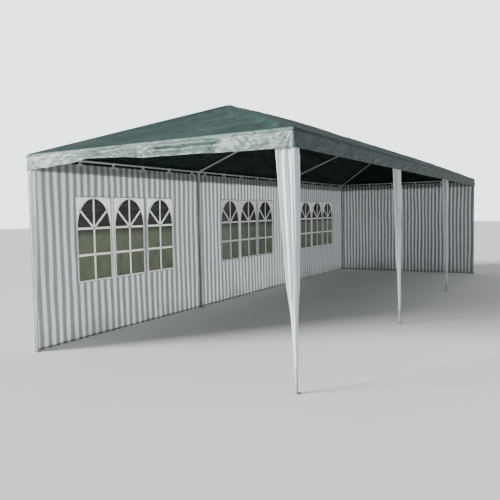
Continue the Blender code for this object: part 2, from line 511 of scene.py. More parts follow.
@dataclass(frozen=True)
class TubePaint:
    """Light grey powder coat on steel tube, soiled towards the ground."""

    name: str = "tube_powder_coat"
    colour: Point = (0.56, 0.59, 0.58)
    shade: Point = (0.47, 0.50, 0.49)
    soil: Point = (0.23, 0.21, 0.17)
    soil_height: float = 0.16

    def make(self) -> bpy.types.Material:
        """Make the material.

        Returns:
            The material.
        """
        recipe = Recipe(self.name)
        place = recipe.place()
        height = recipe.split(place)[2]
        tone = recipe.mottle(place, 2.2, 4.0)
        speck = recipe.mottle(place, 95.0, 4.0)
        near_ground = recipe.fade(height, 0.0, self.soil_height, 1.0, 0.0)
        dirt = recipe.times(near_ground, recipe.fade(speck, 0.35, 0.62, 0.0, 0.8))
        scuffs = recipe.creases(recipe.stretch(place, (1.0, 1.0, 0.35), 0.4), 26.0, 0.035)
        scuff_mask = recipe.times(scuffs, recipe.fade(tone, 0.5, 0.62, 0.0, 0.5))
        painted = recipe.blend(recipe.fade(tone, 0.3, 0.7, 0.0, 1.0), self.colour, self.shade)
        worn = recipe.blend(scuff_mask, painted, (0.34, 0.35, 0.35))
        recipe.relief((recipe.mottle(place, 700.0, 2.0), 0.00008), (scuffs, -0.00003))
        return recipe.surface(
            base_color=recipe.blend(dirt, worn, self.soil),
            roughness=recipe.fade(speck, 0.3, 0.7, 0.34, 0.52),
            coat_weight=0.15,
        )


@dataclass(frozen=True)
class PlatedSteel:
    """Bright plated steel of the spring buttons."""

    name: str = "plated_steel"

    def make(self) -> bpy.types.Material:
        """Make the material.

        Returns:
            The material.
        """
        recipe = Recipe(self.name)
        place = recipe.place()
        speck = recipe.mottle(place, 400.0, 3.0)
        recipe.relief((speck, 0.00005))
        return recipe.surface(
            base_color=recipe.blend(speck, (0.52, 0.52, 0.50), (0.68, 0.68, 0.66)),
            roughness=recipe.fade(speck, 0.3, 0.7, 0.28, 0.45),
            metallic=1.0,
        )


class Face(Enum):
    """The parts of the cover's laminated sheet that look different."""

    OUTSIDE = "outside"
    UNDERSIDE = "underside"
    VALANCE = "valance"


@dataclass(frozen=True)
class CoverSheet:
    """Green laminated tarpaulin: a woven tape core under a glossy film, creased where it was folded."""

    face: Face
    colour: Point = (0.0055, 0.0290, 0.0255)
    worn: Point = (0.011, 0.040, 0.036)
    rough_low: float = 0.40
    rough_high: float = 0.54
    shine: float = 0.22
    fold_pitch: float = 0.46
    tape_pitch: float = 0.0032
    seam_half: float = 0.011
    crease_depth: float = 0.0016
    # Painted sheen: a pale grey-brown colour and its largest share, blended in as patches for the glossy
    # film's glints
    painted_sheen: Point = (0.105, 0.118, 0.112)
    painted_sheen_share: float = 0.46
    # Painted highlight: a pale green for sun glare at the front end, and the y where it starts
    painted_glare: Point = (0.150, 0.222, 0.205)
    painted_glare_y: float = -4.512

    def seams(self, recipe: Recipe) -> object:
        """Mark the lapped seams on the hips, along the ridge and over the rafters.

        Args:
            recipe: the material being made.

        Returns:
            1 on a seam and 0 off it.
        """
        parts = recipe.split(recipe.place())
        across = recipe.math("ABSOLUTE", parts[0])
        along = recipe.math("ABSOLUTE", parts[1])
        past_ridge = recipe.math("MAXIMUM", recipe.math("SUBTRACT", along, RIDGE_HALF), 0.0)
        hip = recipe.away(past_ridge, across)
        nearest = recipe.math("MINIMUM", hip, recipe.away(along, RIDGE_HALF / 2))
        return recipe.fade(nearest, self.seam_half, self.seam_half * 1.35, 1.0, 0.0)

    def make(self) -> bpy.types.Material:
        """Make the material.

        Returns:
            The material.
        """
        recipe = Recipe(f"cover_{self.face.value}")
        cloth = recipe.place(uv=True)
        parts = recipe.split(cloth)
        bent = recipe.stretch(cloth, (1.0, 1.6, 1.0), 0.5)
        sheen = recipe.mottle(recipe.stretch(cloth, (0.55, 2.4, 1.0)), 2.6, 5.0, 0.4)
        patch = recipe.mottle(cloth, 1.1, 3.0)
        fine = recipe.mottle(bent, 34.0, 4.0, 0.6)
        big = recipe.creases(bent, 5.5, 0.07)
        small = recipe.creases(recipe.stretch(cloth, (1.0, 1.3, 1.0), -0.7), 17.0, 0.09)
        folds = recipe.math(
            "MAXIMUM",
            recipe.line_every(parts[0], self.fold_pitch, 0.007),
            recipe.line_every(parts[1], self.fold_pitch * 0.8, 0.007),
        )
        tapes = recipe.weave(parts[0], parts[1], self.tape_pitch)
        seam = self.seams(recipe)
        facets = recipe.facets(recipe.stretch(cloth, (1.0, 1.5, 1.0), 0.9), 9.0)
        depth = self.crease_depth
        recipe.relief(
            (big, depth), (small, depth * 0.4), (folds, depth * 0.5), (facets, depth * 2.0),
            (fine, depth * 0.9), (tapes, 0.00006), (seam, 0.0007),
        )
        stress = recipe.times(recipe.math("MAXIMUM", folds, big), recipe.fade(patch, 0.4, 0.6, 0.05, 0.35))
        toned = recipe.blend(recipe.fade(patch, 0.3, 0.7, 0.0, 1.0), self.colour, self.worn)
        marked = recipe.blend(stress, toned, scaled(self.worn, 1.9, 0.012))
        # Painted sheen: speckled pale grey-brown patches stand in for glints on the glossy film
        speckle = recipe.fade(recipe.mottle(bent, 46.0, 5.0, 1.2), 0.42, 0.60, 0.15, 1.0)
        painted_light = recipe.times(recipe.fade(sheen, 0.46, 0.62, 0.0, self.painted_sheen_share), speckle)
        marked = recipe.blend(painted_light, marked, self.painted_sheen)
        # Painted highlight: the front end takes a pale green for sun glare on the glossy sheet, dimmed in
        # cloudy patches, with dark slanting creases painted in as shade
        along_tent = recipe.split(recipe.place())[1]
        at_front = recipe.fade(along_tent, self.painted_glare_y - 0.008, self.painted_glare_y, 1.0, 0.0)
        slanting = recipe.creases(recipe.stretch(cloth, (1.0, 3.4, 1.0), 0.55), 5.0, 0.10)
        painted_crease_shade = recipe.times(slanting, recipe.fade(recipe.mottle(cloth, 9.0, 3.0), 0.44, 0.60, 0.0, 0.85))
        cloudy = recipe.mottle(recipe.stretch(cloth, (1.0, 2.2, 1.0), 0.5), 12.0, 5.0, 0.8)
        dim = recipe.fade(cloudy, 0.36, 0.64, 0.0, 0.55)
        painted_glare_colour = recipe.blend(dim, self.painted_glare, scaled(self.painted_glare, 0.42))
        painted_glare_colour = recipe.blend(painted_crease_shade, painted_glare_colour, self.worn)
        marked = recipe.blend(at_front, marked, painted_glare_colour)
        shaded = recipe.blend(recipe.times(seam, 0.25), marked, scaled(self.colour, 0.6))
        return recipe.surface(
            base_color=shaded,
            roughness=recipe.fade(sheen, 0.3, 0.7, self.rough_low, self.rough_high),
            specular_ior_level=self.shine,
        )


@dataclass(frozen=True)
class WallCloth:
    """White sheet with printed grey stripes, thin enough to glow when light falls on its other face."""

    name: str
    pitch: float
    light: Point = (0.80, 0.82, 0.84)
    dark: Point = (0.42, 0.455, 0.46)
    passes: float = 0.56
    rib_pitch: float = 0.0026

    def make(self) -> bpy.types.Material:
        """Make the material.

        Returns:
            The material.
        """
        recipe = Recipe(self.name)
        cloth = recipe.place(uv=True)
        along, height, _ = recipe.split(cloth)
        waver = recipe.total((recipe.mottle(recipe.stretch(cloth, (3.0, 1.0, 1.0)), 1.3, 2.0), 0.046))
        phase = recipe.math("PINGPONG", recipe.math("ADD", along, waver), self.pitch / 2)
        stripe = recipe.fade(phase, self.pitch * 0.18, self.pitch * 0.34, 1.0, 0.0)
        hairline = recipe.fade(recipe.away(phase, self.pitch * 0.43), 0.0, 0.0022, 0.12, 0.0)
        print_tone = recipe.math("MAXIMUM", stripe, hairline)
        tone = recipe.mottle(cloth, 1.6, 4.0)
        low_down = recipe.fade(height, 0.0, 0.3, 0.35, 0.0)
        dust = recipe.times(low_down, recipe.fade(tone, 0.35, 0.65, 0.2, 1.0))
        white = recipe.blend(recipe.fade(tone, 0.3, 0.7, 0.0, 0.5), self.light, scaled(self.light, 0.9))
        printed = recipe.blend(print_tone, white, self.dark)
        colour = recipe.blend(dust, printed, (0.33, 0.32, 0.27))
        ribs = recipe.weave(along, height, self.rib_pitch)
        folds = recipe.math(
            "MAXIMUM", recipe.line_every(along, 0.5, 0.008), recipe.line_every(height, 0.497, 0.008)
        )
        crumple = recipe.facets(recipe.stretch(cloth, (1.7, 1.0, 1.0), 0.3), 8.0)
        recipe.relief(
            (ribs, 0.00005), (folds, 0.0009), (crumple, 0.0022),
            (recipe.creases(cloth, 11.0, 0.07), 0.0006), (recipe.mottle(cloth, 26.0, 4.0), 0.0012),
        )
        recipe.let_light_through(colour, self.passes)
        return recipe.surface(base_color=colour, roughness=recipe.fade(tone, 0.3, 0.7, 0.42, 0.58))


@dataclass(frozen=True)
class WhiteCloth:
    """White sheet for window surrounds, post covers and tapes."""

    name: str
    colour: Point = (0.86, 0.88, 0.89)
    passes: float = 0.25
    weave: float = 0.0024
    crease: float = 0.0010
    soil_height: float = 0.0
    soil: Point = (0.45, 0.43, 0.36)

    def make(self) -> bpy.types.Material:
        """Make the material.

        Returns:
            The material.
        """
        recipe = Recipe(self.name)
        place = recipe.place()
        parts = recipe.split(place)
        tone = recipe.mottle(place, 6.0, 4.0)
        weave = recipe.weave(recipe.math("ADD", parts[0], parts[1]), parts[2], self.weave)
        folds = recipe.creases(recipe.stretch(place, (1.0, 1.0, 0.3)), 16.0, 0.09)
        recipe.relief(
            (weave, 0.00005), (folds, self.crease), (recipe.facets(place, 24.0), self.crease),
            (recipe.mottle(place, 70.0, 4.0), self.crease * 0.5),
        )
        clean = recipe.blend(recipe.fade(tone, 0.35, 0.7, 0.0, 0.6), self.colour, scaled(self.colour, 0.93))
        if self.soil_height:
            low = recipe.fade(parts[2], 0.12, self.soil_height, 0.45, 0.0)
            soiled = recipe.times(low, recipe.fade(tone, 0.35, 0.6, 0.0, 1.0))
            clean = recipe.blend(soiled, clean, self.soil)
        recipe.let_light_through(clean, self.passes)
        return recipe.surface(base_color=clean, roughness=recipe.fade(tone, 0.3, 0.7, 0.38, 0.55))


@dataclass(frozen=True)
class ClearFilm:
    """Window film, a little wavy, so that it shines in patches, with painted shade: a near-black tint above
    and an olive one below stand in for the dark view through clear film.
    """

    name: str = "window_film"
    # Painted shade: the olive lower tint and the near-black upper tint, with their opacities, stand in for
    # the dark view through the film
    colour: Point = (0.150, 0.185, 0.105)
    painted_dark_top: Point = (0.024, 0.028, 0.026)
    opacity: float = 0.84
    high_opacity: float = 0.97
    change: Pair = (1.14, 1.30)
    pitch: float = 0.605
    half: float = 0.262
    sill: float = 0.664
    spring: float = 1.270
    rise: float = 0.349
    bar_z: float = 0.962
    bar_half: float = 0.011
    slant: Pair = (0.7135, 0.7007)

    def pane(self, recipe: Recipe, along: object, height: object) -> object:
        """Mark the panes, between the bars and inside the arches.

        Args:
            recipe: the material being made.
            along: the place along the film, from its middle.
            height: the height above the ground.

        Returns:
            1 on a pane and 0 behind the white surrounds and bars.
        """
        across = recipe.math("PINGPONG", along, self.pitch / 2)
        up = recipe.math("SUBTRACT", height, self.spring)
        bow = recipe.math("DIVIDE", recipe.math("MAXIMUM", up, 0.0), self.rise)
        wide = recipe.math("DIVIDE", across, self.half)
        round_off = recipe.math("ADD", recipe.times(bow, bow), recipe.times(wide, wide))
        inside = recipe.math("LESS_THAN", round_off, 1.0)
        inside = recipe.times(inside, recipe.math("GREATER_THAN", height, self.sill))
        slant = recipe.away(recipe.times(across, self.slant[1]), recipe.times(up, self.slant[0]))
        slant = recipe.math("ADD", slant, recipe.math("LESS_THAN", up, 0.0))
        to_bar = recipe.away(height, self.bar_z)
        for gap in (across, recipe.math("ABSOLUTE", up), slant):
            to_bar = recipe.math("MINIMUM", to_bar, gap)
        return recipe.times(inside, recipe.math("GREATER_THAN", to_bar, self.bar_half))

    def make(self) -> bpy.types.Material:
        """Make the material.

        Returns:
            The material.
        """
        recipe = Recipe(self.name)
        cloth = recipe.place(uv=True)
        along, height, _ = recipe.split(cloth)
        haze = recipe.mottle(recipe.stretch(cloth, (1.0, 0.6, 1.0)), 4.0, 5.0, 0.8)
        waves = recipe.mottle(recipe.stretch(cloth, (0.6, 2.0, 1.0), 0.3), 5.0, 3.0)
        recipe.relief((waves, 0.006), (recipe.creases(cloth, 6.0, 0.06), 0.0006))
        # Painted shade: the film is tinted and made nearly opaque on the panes to show a dark view through it
        low = recipe.blend(recipe.fade(haze, 0.3, 0.7, 0.0, 1.0), self.colour, scaled(self.colour, 1.5))
        painted_shade_tint = recipe.blend(recipe.fade(height, *self.change, 0.0, 1.0), low, self.painted_dark_top)
        recipe.material.surface_render_method = "BLENDED"
        painted_shade_alpha = recipe.fade(height, *self.change, self.opacity, self.high_opacity)
        painted_shade_alpha = recipe.times(painted_shade_alpha, self.pane(recipe, along, height))
        return recipe.surface(
            base_color=painted_shade_tint,
            roughness=recipe.fade(haze, 0.3, 0.7, 0.10, 0.24),
            alpha=painted_shade_alpha,
            ior=1.46,
        )


def choose_only(*objects: bpy.types.Object) -> None:
    """Select these objects and nothing else, and make the first one active."""
    bpy.ops.object.select_all(action="DESELECT")
    for item in objects:
        item.select_set(True)
    bpy.context.view_layer.objects.active = objects[0]


def edit_faces(obj: bpy.types.Object, test: Test, *steps: Callable[[], object]) -> None:
    """Select some faces of an object in edit mode and edit them.

    Args:
        obj: the object to open.
        test: tells from a face's centre and normal whether it is selected.
        steps: the editing steps, in order.
    """
    choose_only(obj)
    bpy.ops.object.mode_set(mode="EDIT")
    bpy.ops.mesh.select_all(action="DESELECT")
    bpy.ops.mesh.select_mode(type="FACE")
    bpy.ops.object.mode_set(mode="OBJECT")
    for face in obj.data.polygons:
        face.select = test(face.center, face.normal)
    bpy.ops.object.mode_set(mode="EDIT")
    for step in steps:
        step()
    bpy.ops.object.mode_set(mode="OBJECT")


def bore(
    obj: bpy.types.Object, tip: Vector, outward: Vector, lip: float, inset: float, depth: float
) -> None:
    """Bore a hole into the flat end of a bar, with a rounded lip.

    Args:
        obj: the bar.
        tip: the middle of its end.
        outward: the direction that the end faces.
        lip: how far the lip is rounded.
        inset: the distance from the lip to the hole.
        depth: how deep the hole goes.
    """

    def is_end(centre: Vector, normal: Vector) -> bool:
        """Tell whether a face is the bar's end."""
        return (centre - tip).length < 0.001 and normal.dot(outward) > 0.99

    edit_faces(obj, is_end, lambda: bpy.ops.mesh.bevel(offset=lip, segments=2))
    move = {"value": tuple(-outward * depth)}
    edit_faces(
        obj,
        is_end,
        lambda: bpy.ops.mesh.inset(thickness=inset),
        lambda: bpy.ops.mesh.extrude_region_move(TRANSFORM_OT_translate=move),
    )


def settle(obj: bpy.types.Object, name: str) -> bpy.types.Object:
    """Name an object and put its place into its mesh, so that it sits at the origin.

    Args:
        obj: the object.
        name: its new name.

    Returns:
        The same object.
    """
    choose_only(obj)
    bpy.ops.object.transform_apply(location=True, rotation=True, scale=True)
    obj.name = name
    obj.data.name = name
    return obj


def round_bar(name: str, start: Vector, end: Vector, radius: float, sides: int = 24) -> bpy.types.Object:
    """Add a cylinder between two points.

    Args:
        name: the object's name.
        start: the middle of its first end.
        end: the middle of its other end.
        radius: its radius.
        sides: how many sides it has.

    Returns:
        The new object, at the origin.
    """
    along = end - start
    turn = along.to_track_quat("Z", "Y").to_euler()
    bpy.ops.mesh.primitive_cylinder_add(
        vertices=sides, radius=radius, depth=along.length, location=(start + end) / 2, rotation=turn
    )
    return settle(bpy.context.active_object, name)


def swage(obj: bpy.types.Object, middle: Vector, along: Vector) -> None:
    """Press a shallow groove round a bar, where two lengths of tube are pushed together.

    Args:
        obj: the bar.
        middle: the middle of the groove.
        along: the direction of the bar.
    """
    for shift in (-SWAGE_HALF, SWAGE_HALF):
        cut = tuple(middle + along * shift)
        edit_faces(
            obj, lambda centre, normal: True, lambda: bpy.ops.mesh.bisect(plane_co=cut, plane_no=tuple(along))
        )
    sink = {"value": -SWAGE_SINK}
    edit_faces(
        obj,
        lambda centre, normal: abs((centre - middle).dot(along)) < SWAGE_HALF,
        lambda: bpy.ops.mesh.extrude_region_shrink_fatten(TRANSFORM_OT_shrink_fatten=sink),
    )


def smooth(obj: bpy.types.Object, degrees: float = 35.0) -> None:
    """Shade an object smooth except at its sharp edges."""
    choose_only(obj)
    bpy.ops.object.shade_smooth_by_angle(angle=math.radians(degrees))


def apply_modifiers(obj: bpy.types.Object) -> None:
    """Apply all of an object's modifiers, in order."""
    choose_only(obj)
    for modifier in list(obj.modifiers):
        bpy.ops.object.modifier_apply(modifier=modifier.name)


def join(objects: Sequence[bpy.types.Object], name: str) -> bpy.types.Object:
    """Join objects into the first one and name it.

    Args:
        objects: the objects.
        name: the name of the result.

    Returns:
        The first object, which holds them all.
    """
    choose_only(*objects)
    if len(objects) > 1:
        bpy.ops.object.join()
    objects[0].name = name
    objects[0].data.name = name
    return objects[0]


def copy_to(source: bpy.types.Object, name: str, matrix: Matrix) -> bpy.types.Object:
    """Copy a piece with a mesh of its own, moved or turned to another place.

    Args:
        source: the piece to copy.
        name: the copy's name.
        matrix: where the copy goes.

    Returns:
        The copy.
    """
    copy = source.copy()
    copy.data = source.data.copy()
    copy.name = name
    copy.data.name = name
    copy.data.transform(matrix)
    bpy.context.collection.objects.link(copy)
    return copy


def dress(obj: bpy.types.Object, *materials: bpy.types.Material) -> bpy.types.Object:
    """Give an object its materials in place of any that it has.

    Args:
        obj: the object.
        materials: its materials, in the order of their slots.

    Returns:
        The same object.
    """
    obj.data.materials.clear()
    for material in materials:
        obj.data.materials.append(material)
    return obj


def make_knot(
    at: Vector, radius: float, bumps: float, fineness: float, shape: Point = (1.0, 1.0, 1.0)
) -> bpy.types.Object:
    """Model a small lumpy knot of tape.

    Args:
        at: its middle.
        radius: its radius.
        bumps: how high its lumps are.
        fineness: how many lumps there are in a metre.
        shape: how far it is stretched along each axis.

    Returns:
        The knot.
    """
    bpy.ops.mesh.primitive_uv_sphere_add(segments=14, ring_count=9, radius=radius, location=at)
    ball = bpy.context.active_object
    ball.scale = shape
    settle(ball, "knot")
    for vert in ball.data.vertices:
        vert.co += vert.normal * bumps * noise.noise(vert.co * fineness)
    return ball


def hand_over(obj: bpy.types.Object, nodes: Iterable[str] = ()) -> bpy.types.Object:
    """Tie a finished piece to the frame.

    Args:
        obj: the piece.
        nodes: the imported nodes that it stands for.

    Returns:
        The piece.
    """
    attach(obj, "root")
    named = list(nodes)
    if named:
        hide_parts(*named)
    log.info("%s: %d faces", obj.name, len(obj.data.polygons))
    return obj


@dataclass
class Cloth:
    """A sheet laid out as rows of points, each with its place on the flat cloth."""

    name: str
    points: list[list[Vector]]
    flat: list[list[Pair]]
    closed: bool = False
    skip: Callable[[float, float], bool] | None = None

    def make(self) -> bpy.types.Object:
        """Build the sheet's single surface with its UV map.

        Returns:
            The new object, one face deep.
        """
        shape = bmesh.new()
        map_layer = shape.loops.layers.uv.new(CLOTH_MAP)
        rows = [[shape.verts.new(point) for point in row] for row in self.points]
        count = len(rows[0])
        for low in range(len(rows) - 1):
            for start in range(count if self.closed else count - 1):
                end = (start + 1) % count
                if self.skip and self.skip(*self.middle(low, start)):
                    continue
                below, above = rows[low], rows[low + 1]
                face = shape.faces.new((below[start], below[end], above[end], above[start]))
                places = ((low, start), (low, start + 1), (low + 1, start + 1), (low + 1, start))
                for loop, (row, column) in zip(face.loops, places):
                    loop[map_layer].uv = self.flat[row][column]
        bmesh.ops.remove_doubles(shape, verts=shape.verts, dist=1e-6)
        loose = [vert for vert in shape.verts if not vert.link_faces]
        bmesh.ops.delete(shape, geom=loose, context="VERTS")
        mesh = bpy.data.meshes.new(self.name)
        shape.to_mesh(mesh)
        shape.free()
        mesh.shade_smooth()
        obj = bpy.data.objects.new(self.name, mesh)
        bpy.context.collection.objects.link(obj)
        return obj

    def finished(self, material: bpy.types.Material, thickness: float) -> bpy.types.Object:
        """Build the sheet with its material and its thickness.

        Args:
            material: its material.
            thickness: how thick it is.

        Returns:
            The new object.
        """
        obj = dress(self.make(), material)
        thicken(obj, thickness)
        return obj

    def middle(self, row: int, column: int) -> Pair:
        """Return the middle of one face on the flat cloth."""
        along = (self.flat[row][column][0] + self.flat[row][column + 1][0]) / 2
        return along, (self.flat[row][column][1] + self.flat[row + 1][column][1]) / 2


def thicken(obj: bpy.types.Object, thickness: float, offset: float = 0.0, inner: bool = False) -> None:
    """Give a sheet its thickness.

    Args:
        obj: the sheet.
        thickness: how thick it becomes.
        offset: -1 puts it behind the surface, 1 in front, 0 on both sides.
        inner: whether its second face takes the second material.
    """
    modifier = obj.modifiers.new("thickness", "SOLIDIFY")
    modifier.thickness = thickness
    modifier.offset = offset
    modifier.use_rim = True
    if inner:
        modifier.material_offset = 1
    apply_modifiers(obj)


@dataclass
class TubeFrame:
    """The steel frame: posts, tubes and the sleeved connectors that join them."""

    layout: Layout
    paint: bpy.types.Material
    steel: bpy.types.Material
    tube_wall: float = 0.0012
    button_r: float = 0.0042
    button_at: float = 0.062
    button_round: float = 0.0018
    plate_round: float = 0.008
    bead_r: float = 0.0022

    def hollow(self, bar: bpy.types.Object, start: Vector, end: Vector, depth: float) -> None:
        """Bore both ends of a tube.

        Args:
            bar: the tube.
            start: the middle of its first end.
            end: the middle of its other end.
            depth: how deep the bores go.
        """
        along = (end - start).normalized()
        for tip, outward in ((start, -along), (end, along)):
            bore(bar, tip, outward, self.tube_wall * 0.3, self.tube_wall * 0.6, depth)

    def tube(self, start: Vector, end: Vector) -> bpy.types.Object:
        """Model one tube that stops short of the bottom of its sockets.

        Args:
            start: the middle of the joint at its first end.
            end: the middle of the joint at its other end.

        Returns:
            The tube, in two lengths pushed together.
        """
        along = (end - start).normalized()
        first = start + along * SOCKET_START
        last = end - along * SOCKET_START
        bar = round_bar("tube", first, last, self.layout.tube_r)
        self.hollow(bar, first, last, 0.03)
        swage(bar, (first + last) / 2, along)
        smooth(bar)
        return dress(bar, self.paint)

    def button(self, centre: Vector, along: Vector, out: Vector) -> bpy.types.Object:
        """Model the spring button that locks a tube in its sleeve.

        Args:
            centre: the middle of the joint.
            along: the direction of the sleeve.
            out: the side of the sleeve that the button stands on.

        Returns:
            The button.
        """
        seat = centre + along * self.button_at + out * (self.layout.sleeve_r - 0.001)
        pin = round_bar("button", seat, seat + out * self.button_r, self.button_r, 16)
        edit_faces(
            pin,
            lambda middle, normal: normal.dot(out) > 0.9,
            lambda: bpy.ops.mesh.bevel(offset=self.button_round, segments=3),
        )
        smooth(pin, 50.0)
        return dress(pin, self.steel)

    def joint(
        self, centre: Vector, sleeves: Sequence[Vector], welded: Sequence[Vector] = ()
    ) -> bpy.types.Object:
        """Model a welded joint with a bored sleeve in each direction.

        Args:
            centre: the middle of the joint.
            sleeves: the directions of its sleeves.
            welded: the directions in which a tube is welded on.

        Returns:
            The joint, with its buttons.
        """
        arms = [
            round_bar("arm", centre, centre + way * SLEEVE_LENGTH, self.layout.sleeve_r)
            for way in (*sleeves, *welded)
        ]
        body = arms[0]
        for arm in arms[1:]:
            union = body.modifiers.new("weld", "BOOLEAN")
            union.operation = "UNION"
            union.object = arm
            apply_modifiers(body)
            bpy.data.objects.remove(arm, do_unlink=True)
        for way in sleeves:
            tip = centre + way * SLEEVE_LENGTH
            bore(body, tip, way, LIP, SLEEVE_WALL - LIP, SLEEVE_LENGTH - SOCKET_START)
        dress(body, self.paint, self.steel)
        smooth(body, 30.0)
        buttons = []
        for way in sleeves:
            side = DOWN if way.cross(UP).length > 0.5 else NORTH
            out = (side - way * side.dot(way)).normalized()
            buttons.append(self.button(centre, way, out))
        return join([body, *buttons], "joint")

    def post(self) -> bpy.types.Object:
        """Model one post at the origin, with its rounded foot plate welded on.

        Returns:
            The post.
        """
        top = UP * (self.layout.eave_z - SOCKET_START)
        foot = UP * FOOT_THICK * 0.9
        bar = round_bar("post", foot, top, self.layout.tube_r)
        self.hollow(bar, foot, top, 0.002)
        swage(bar, UP * POST_SWAGE_Z, UP)
        size = self.layout.foot_size
        middle = UP * FOOT_THICK / 2
        bpy.ops.mesh.primitive_cube_add(size=1.0, location=middle, scale=(size, size, FOOT_THICK))
        plate = settle(bpy.context.active_object, "plate")
        edit_faces(plate, lambda centre, normal: False, lambda: bpy.ops.mesh.select_mode(type="EDGE"))
        for edge in plate.data.edges:
            ends = [plate.data.vertices[number].co for number in edge.vertices]
            edge.select = abs(ends[0].z - ends[1].z) > FOOT_THICK / 2
        bpy.ops.object.mode_set(mode="EDIT")
        bpy.ops.mesh.bevel(offset=self.plate_round, segments=5)
        bpy.ops.object.mode_set(mode="OBJECT")
        edit_faces(
            plate,
            lambda centre, normal: normal.z > 0.9,
            lambda: bpy.ops.mesh.bevel(offset=LIP, segments=2),
        )
        bpy.ops.mesh.primitive_torus_add(
            major_radius=self.layout.tube_r, minor_radius=self.bead_r, major_segments=24, minor_segments=8,
            location=UP * FOOT_THICK,
        )
        bead = settle(bpy.context.active_object, "bead")
        for item in (bar, plate, bead):
            dress(item, self.paint)
            smooth(item)
        return join([bar, plate, bead], "post")

    def build(self) -> None:
        """Model every piece of the frame once per kind and set the copies in place."""
        size = self.layout
        zero = Vector((0.0, 0.0, 0.0))
        rise = size.ridge_z - size.eave_z
        post = self.post()
        lean = Vector((size.half_width, 0.0, rise)).normalized()
        hip = Vector((size.half_width, size.half_width, rise)).normalized()
        corner = self.joint(zero, [DOWN, NORTH, EAST, hip])
        middle = self.joint(zero, [DOWN, NORTH, -NORTH, lean])
        quarter = {(-1, -1): 0.0, (1, -1): math.pi / 2, (1, 1): math.pi, (-1, 1): -math.pi / 2}
        hip_tube = self.tube(zero, Vector((size.half_width, size.half_width, rise)))
        rafter = self.tube(zero, Vector((size.half_width, 0.0, rise)))
        for name, x, y in size.posts():
            at = Matrix.Translation((x, y, 0.0))
            up = Matrix.Translation((x, y, size.eave_z))
            hand_over(copy_to(post, f"tube_post_{name}", at), [f"post_{name}"])
            ways = (int(math.copysign(1, x)), int(math.copysign(1, y)))
            at_corner = abs(y) > size.ridge_half + 0.01
            turn = quarter[ways] if at_corner else (0.0 if x < 0 else math.pi)
            place = up @ Matrix.Rotation(turn, 4, "Z")
            joint_copy = copy_to(corner if at_corner else middle, f"sleeve_joint_{name}", place)
            hand_over(joint_copy, [f"connector_{name}"])
            kind = "hip_rafter" if at_corner else "rafter"
            bar = copy_to(hip_tube if at_corner else rafter, f"tube_{kind}_{name}", place)
            hand_over(bar, [f"{kind}_{name}"])
        eave = self.tube(Vector((0.0, 0.0, size.eave_z)), Vector((0.0, size.bay, size.eave_z)))
        for side, x in (("left", -size.half_width), ("right", size.half_width)):
            for index, bay in enumerate(("front", "middle", "back")):
                shift = Matrix.Translation((x, -size.half_length + size.bay * index, 0.0))
                name = f"eave_tube_{side}_{bay}"
                hand_over(copy_to(eave, f"round_{name}", shift), [name])
        for end, y in (("front", -size.half_length), ("back", size.half_length)):
            turn = Matrix.Translation((size.half_width, y, 0.0)) @ Matrix.Rotation(math.pi / 2, 4, "Z")
            hand_over(copy_to(eave, f"round_eave_tube_{end}", turn), [f"eave_tube_{end}"])
        self.ridge(lean, hip)
        for master in (post, corner, middle, hip_tube, rafter, eave):
            bpy.data.objects.remove(master, do_unlink=True)

    def ridge(self, lean: Vector, hip: Vector) -> None:
        """Model the three ridge tubes with their welded rafter sleeves.

        Args:
            lean: the direction of a common rafter from its eave.
            hip: the direction of a hip rafter from its corner.
        """
        size = self.layout
        half = size.ridge_half / 2
        cross_ways = [Vector((-lean.x, 0.0, -lean.z)), Vector((lean.x, 0.0, -lean.z))]
        hip_ways = [Vector((-hip.x, -hip.y, -hip.z)), Vector((hip.x, -hip.y, -hip.z))]
        cross = self.joint(Vector((0.0, -half, size.ridge_z)), [*cross_ways, -NORTH], [NORTH])
        tube_start, tube_end = (Vector((0.0, y, size.ridge_z)) for y in (-half, half))
        tube = round_bar("ridge", tube_start, tube_end, size.tube_r)
        dress(tube, self.paint)
        smooth(tube)
        turned = Matrix.Rotation(math.pi, 4, "Z")
        far_cross = copy_to(cross, "cross", turned)
        hand_over(join([tube, cross, far_cross], "round_ridge_middle"), ["ridge_middle"])
        end = Vector((0.0, -size.ridge_half, size.ridge_z))
        tip = self.joint(end, hip_ways, [NORTH])
        start = Vector((0.0, -half - SOCKET_START, size.ridge_z))
        outer = round_bar("ridge", end, start, size.tube_r)
        dress(outer, self.paint)
        smooth(outer)
        front = join([outer, tip], "round_ridge_front")
        back = copy_to(front, "round_ridge_back", turned)
        hand_over(front, ["ridge_front"])
        hand_over(back, ["ridge_back"])


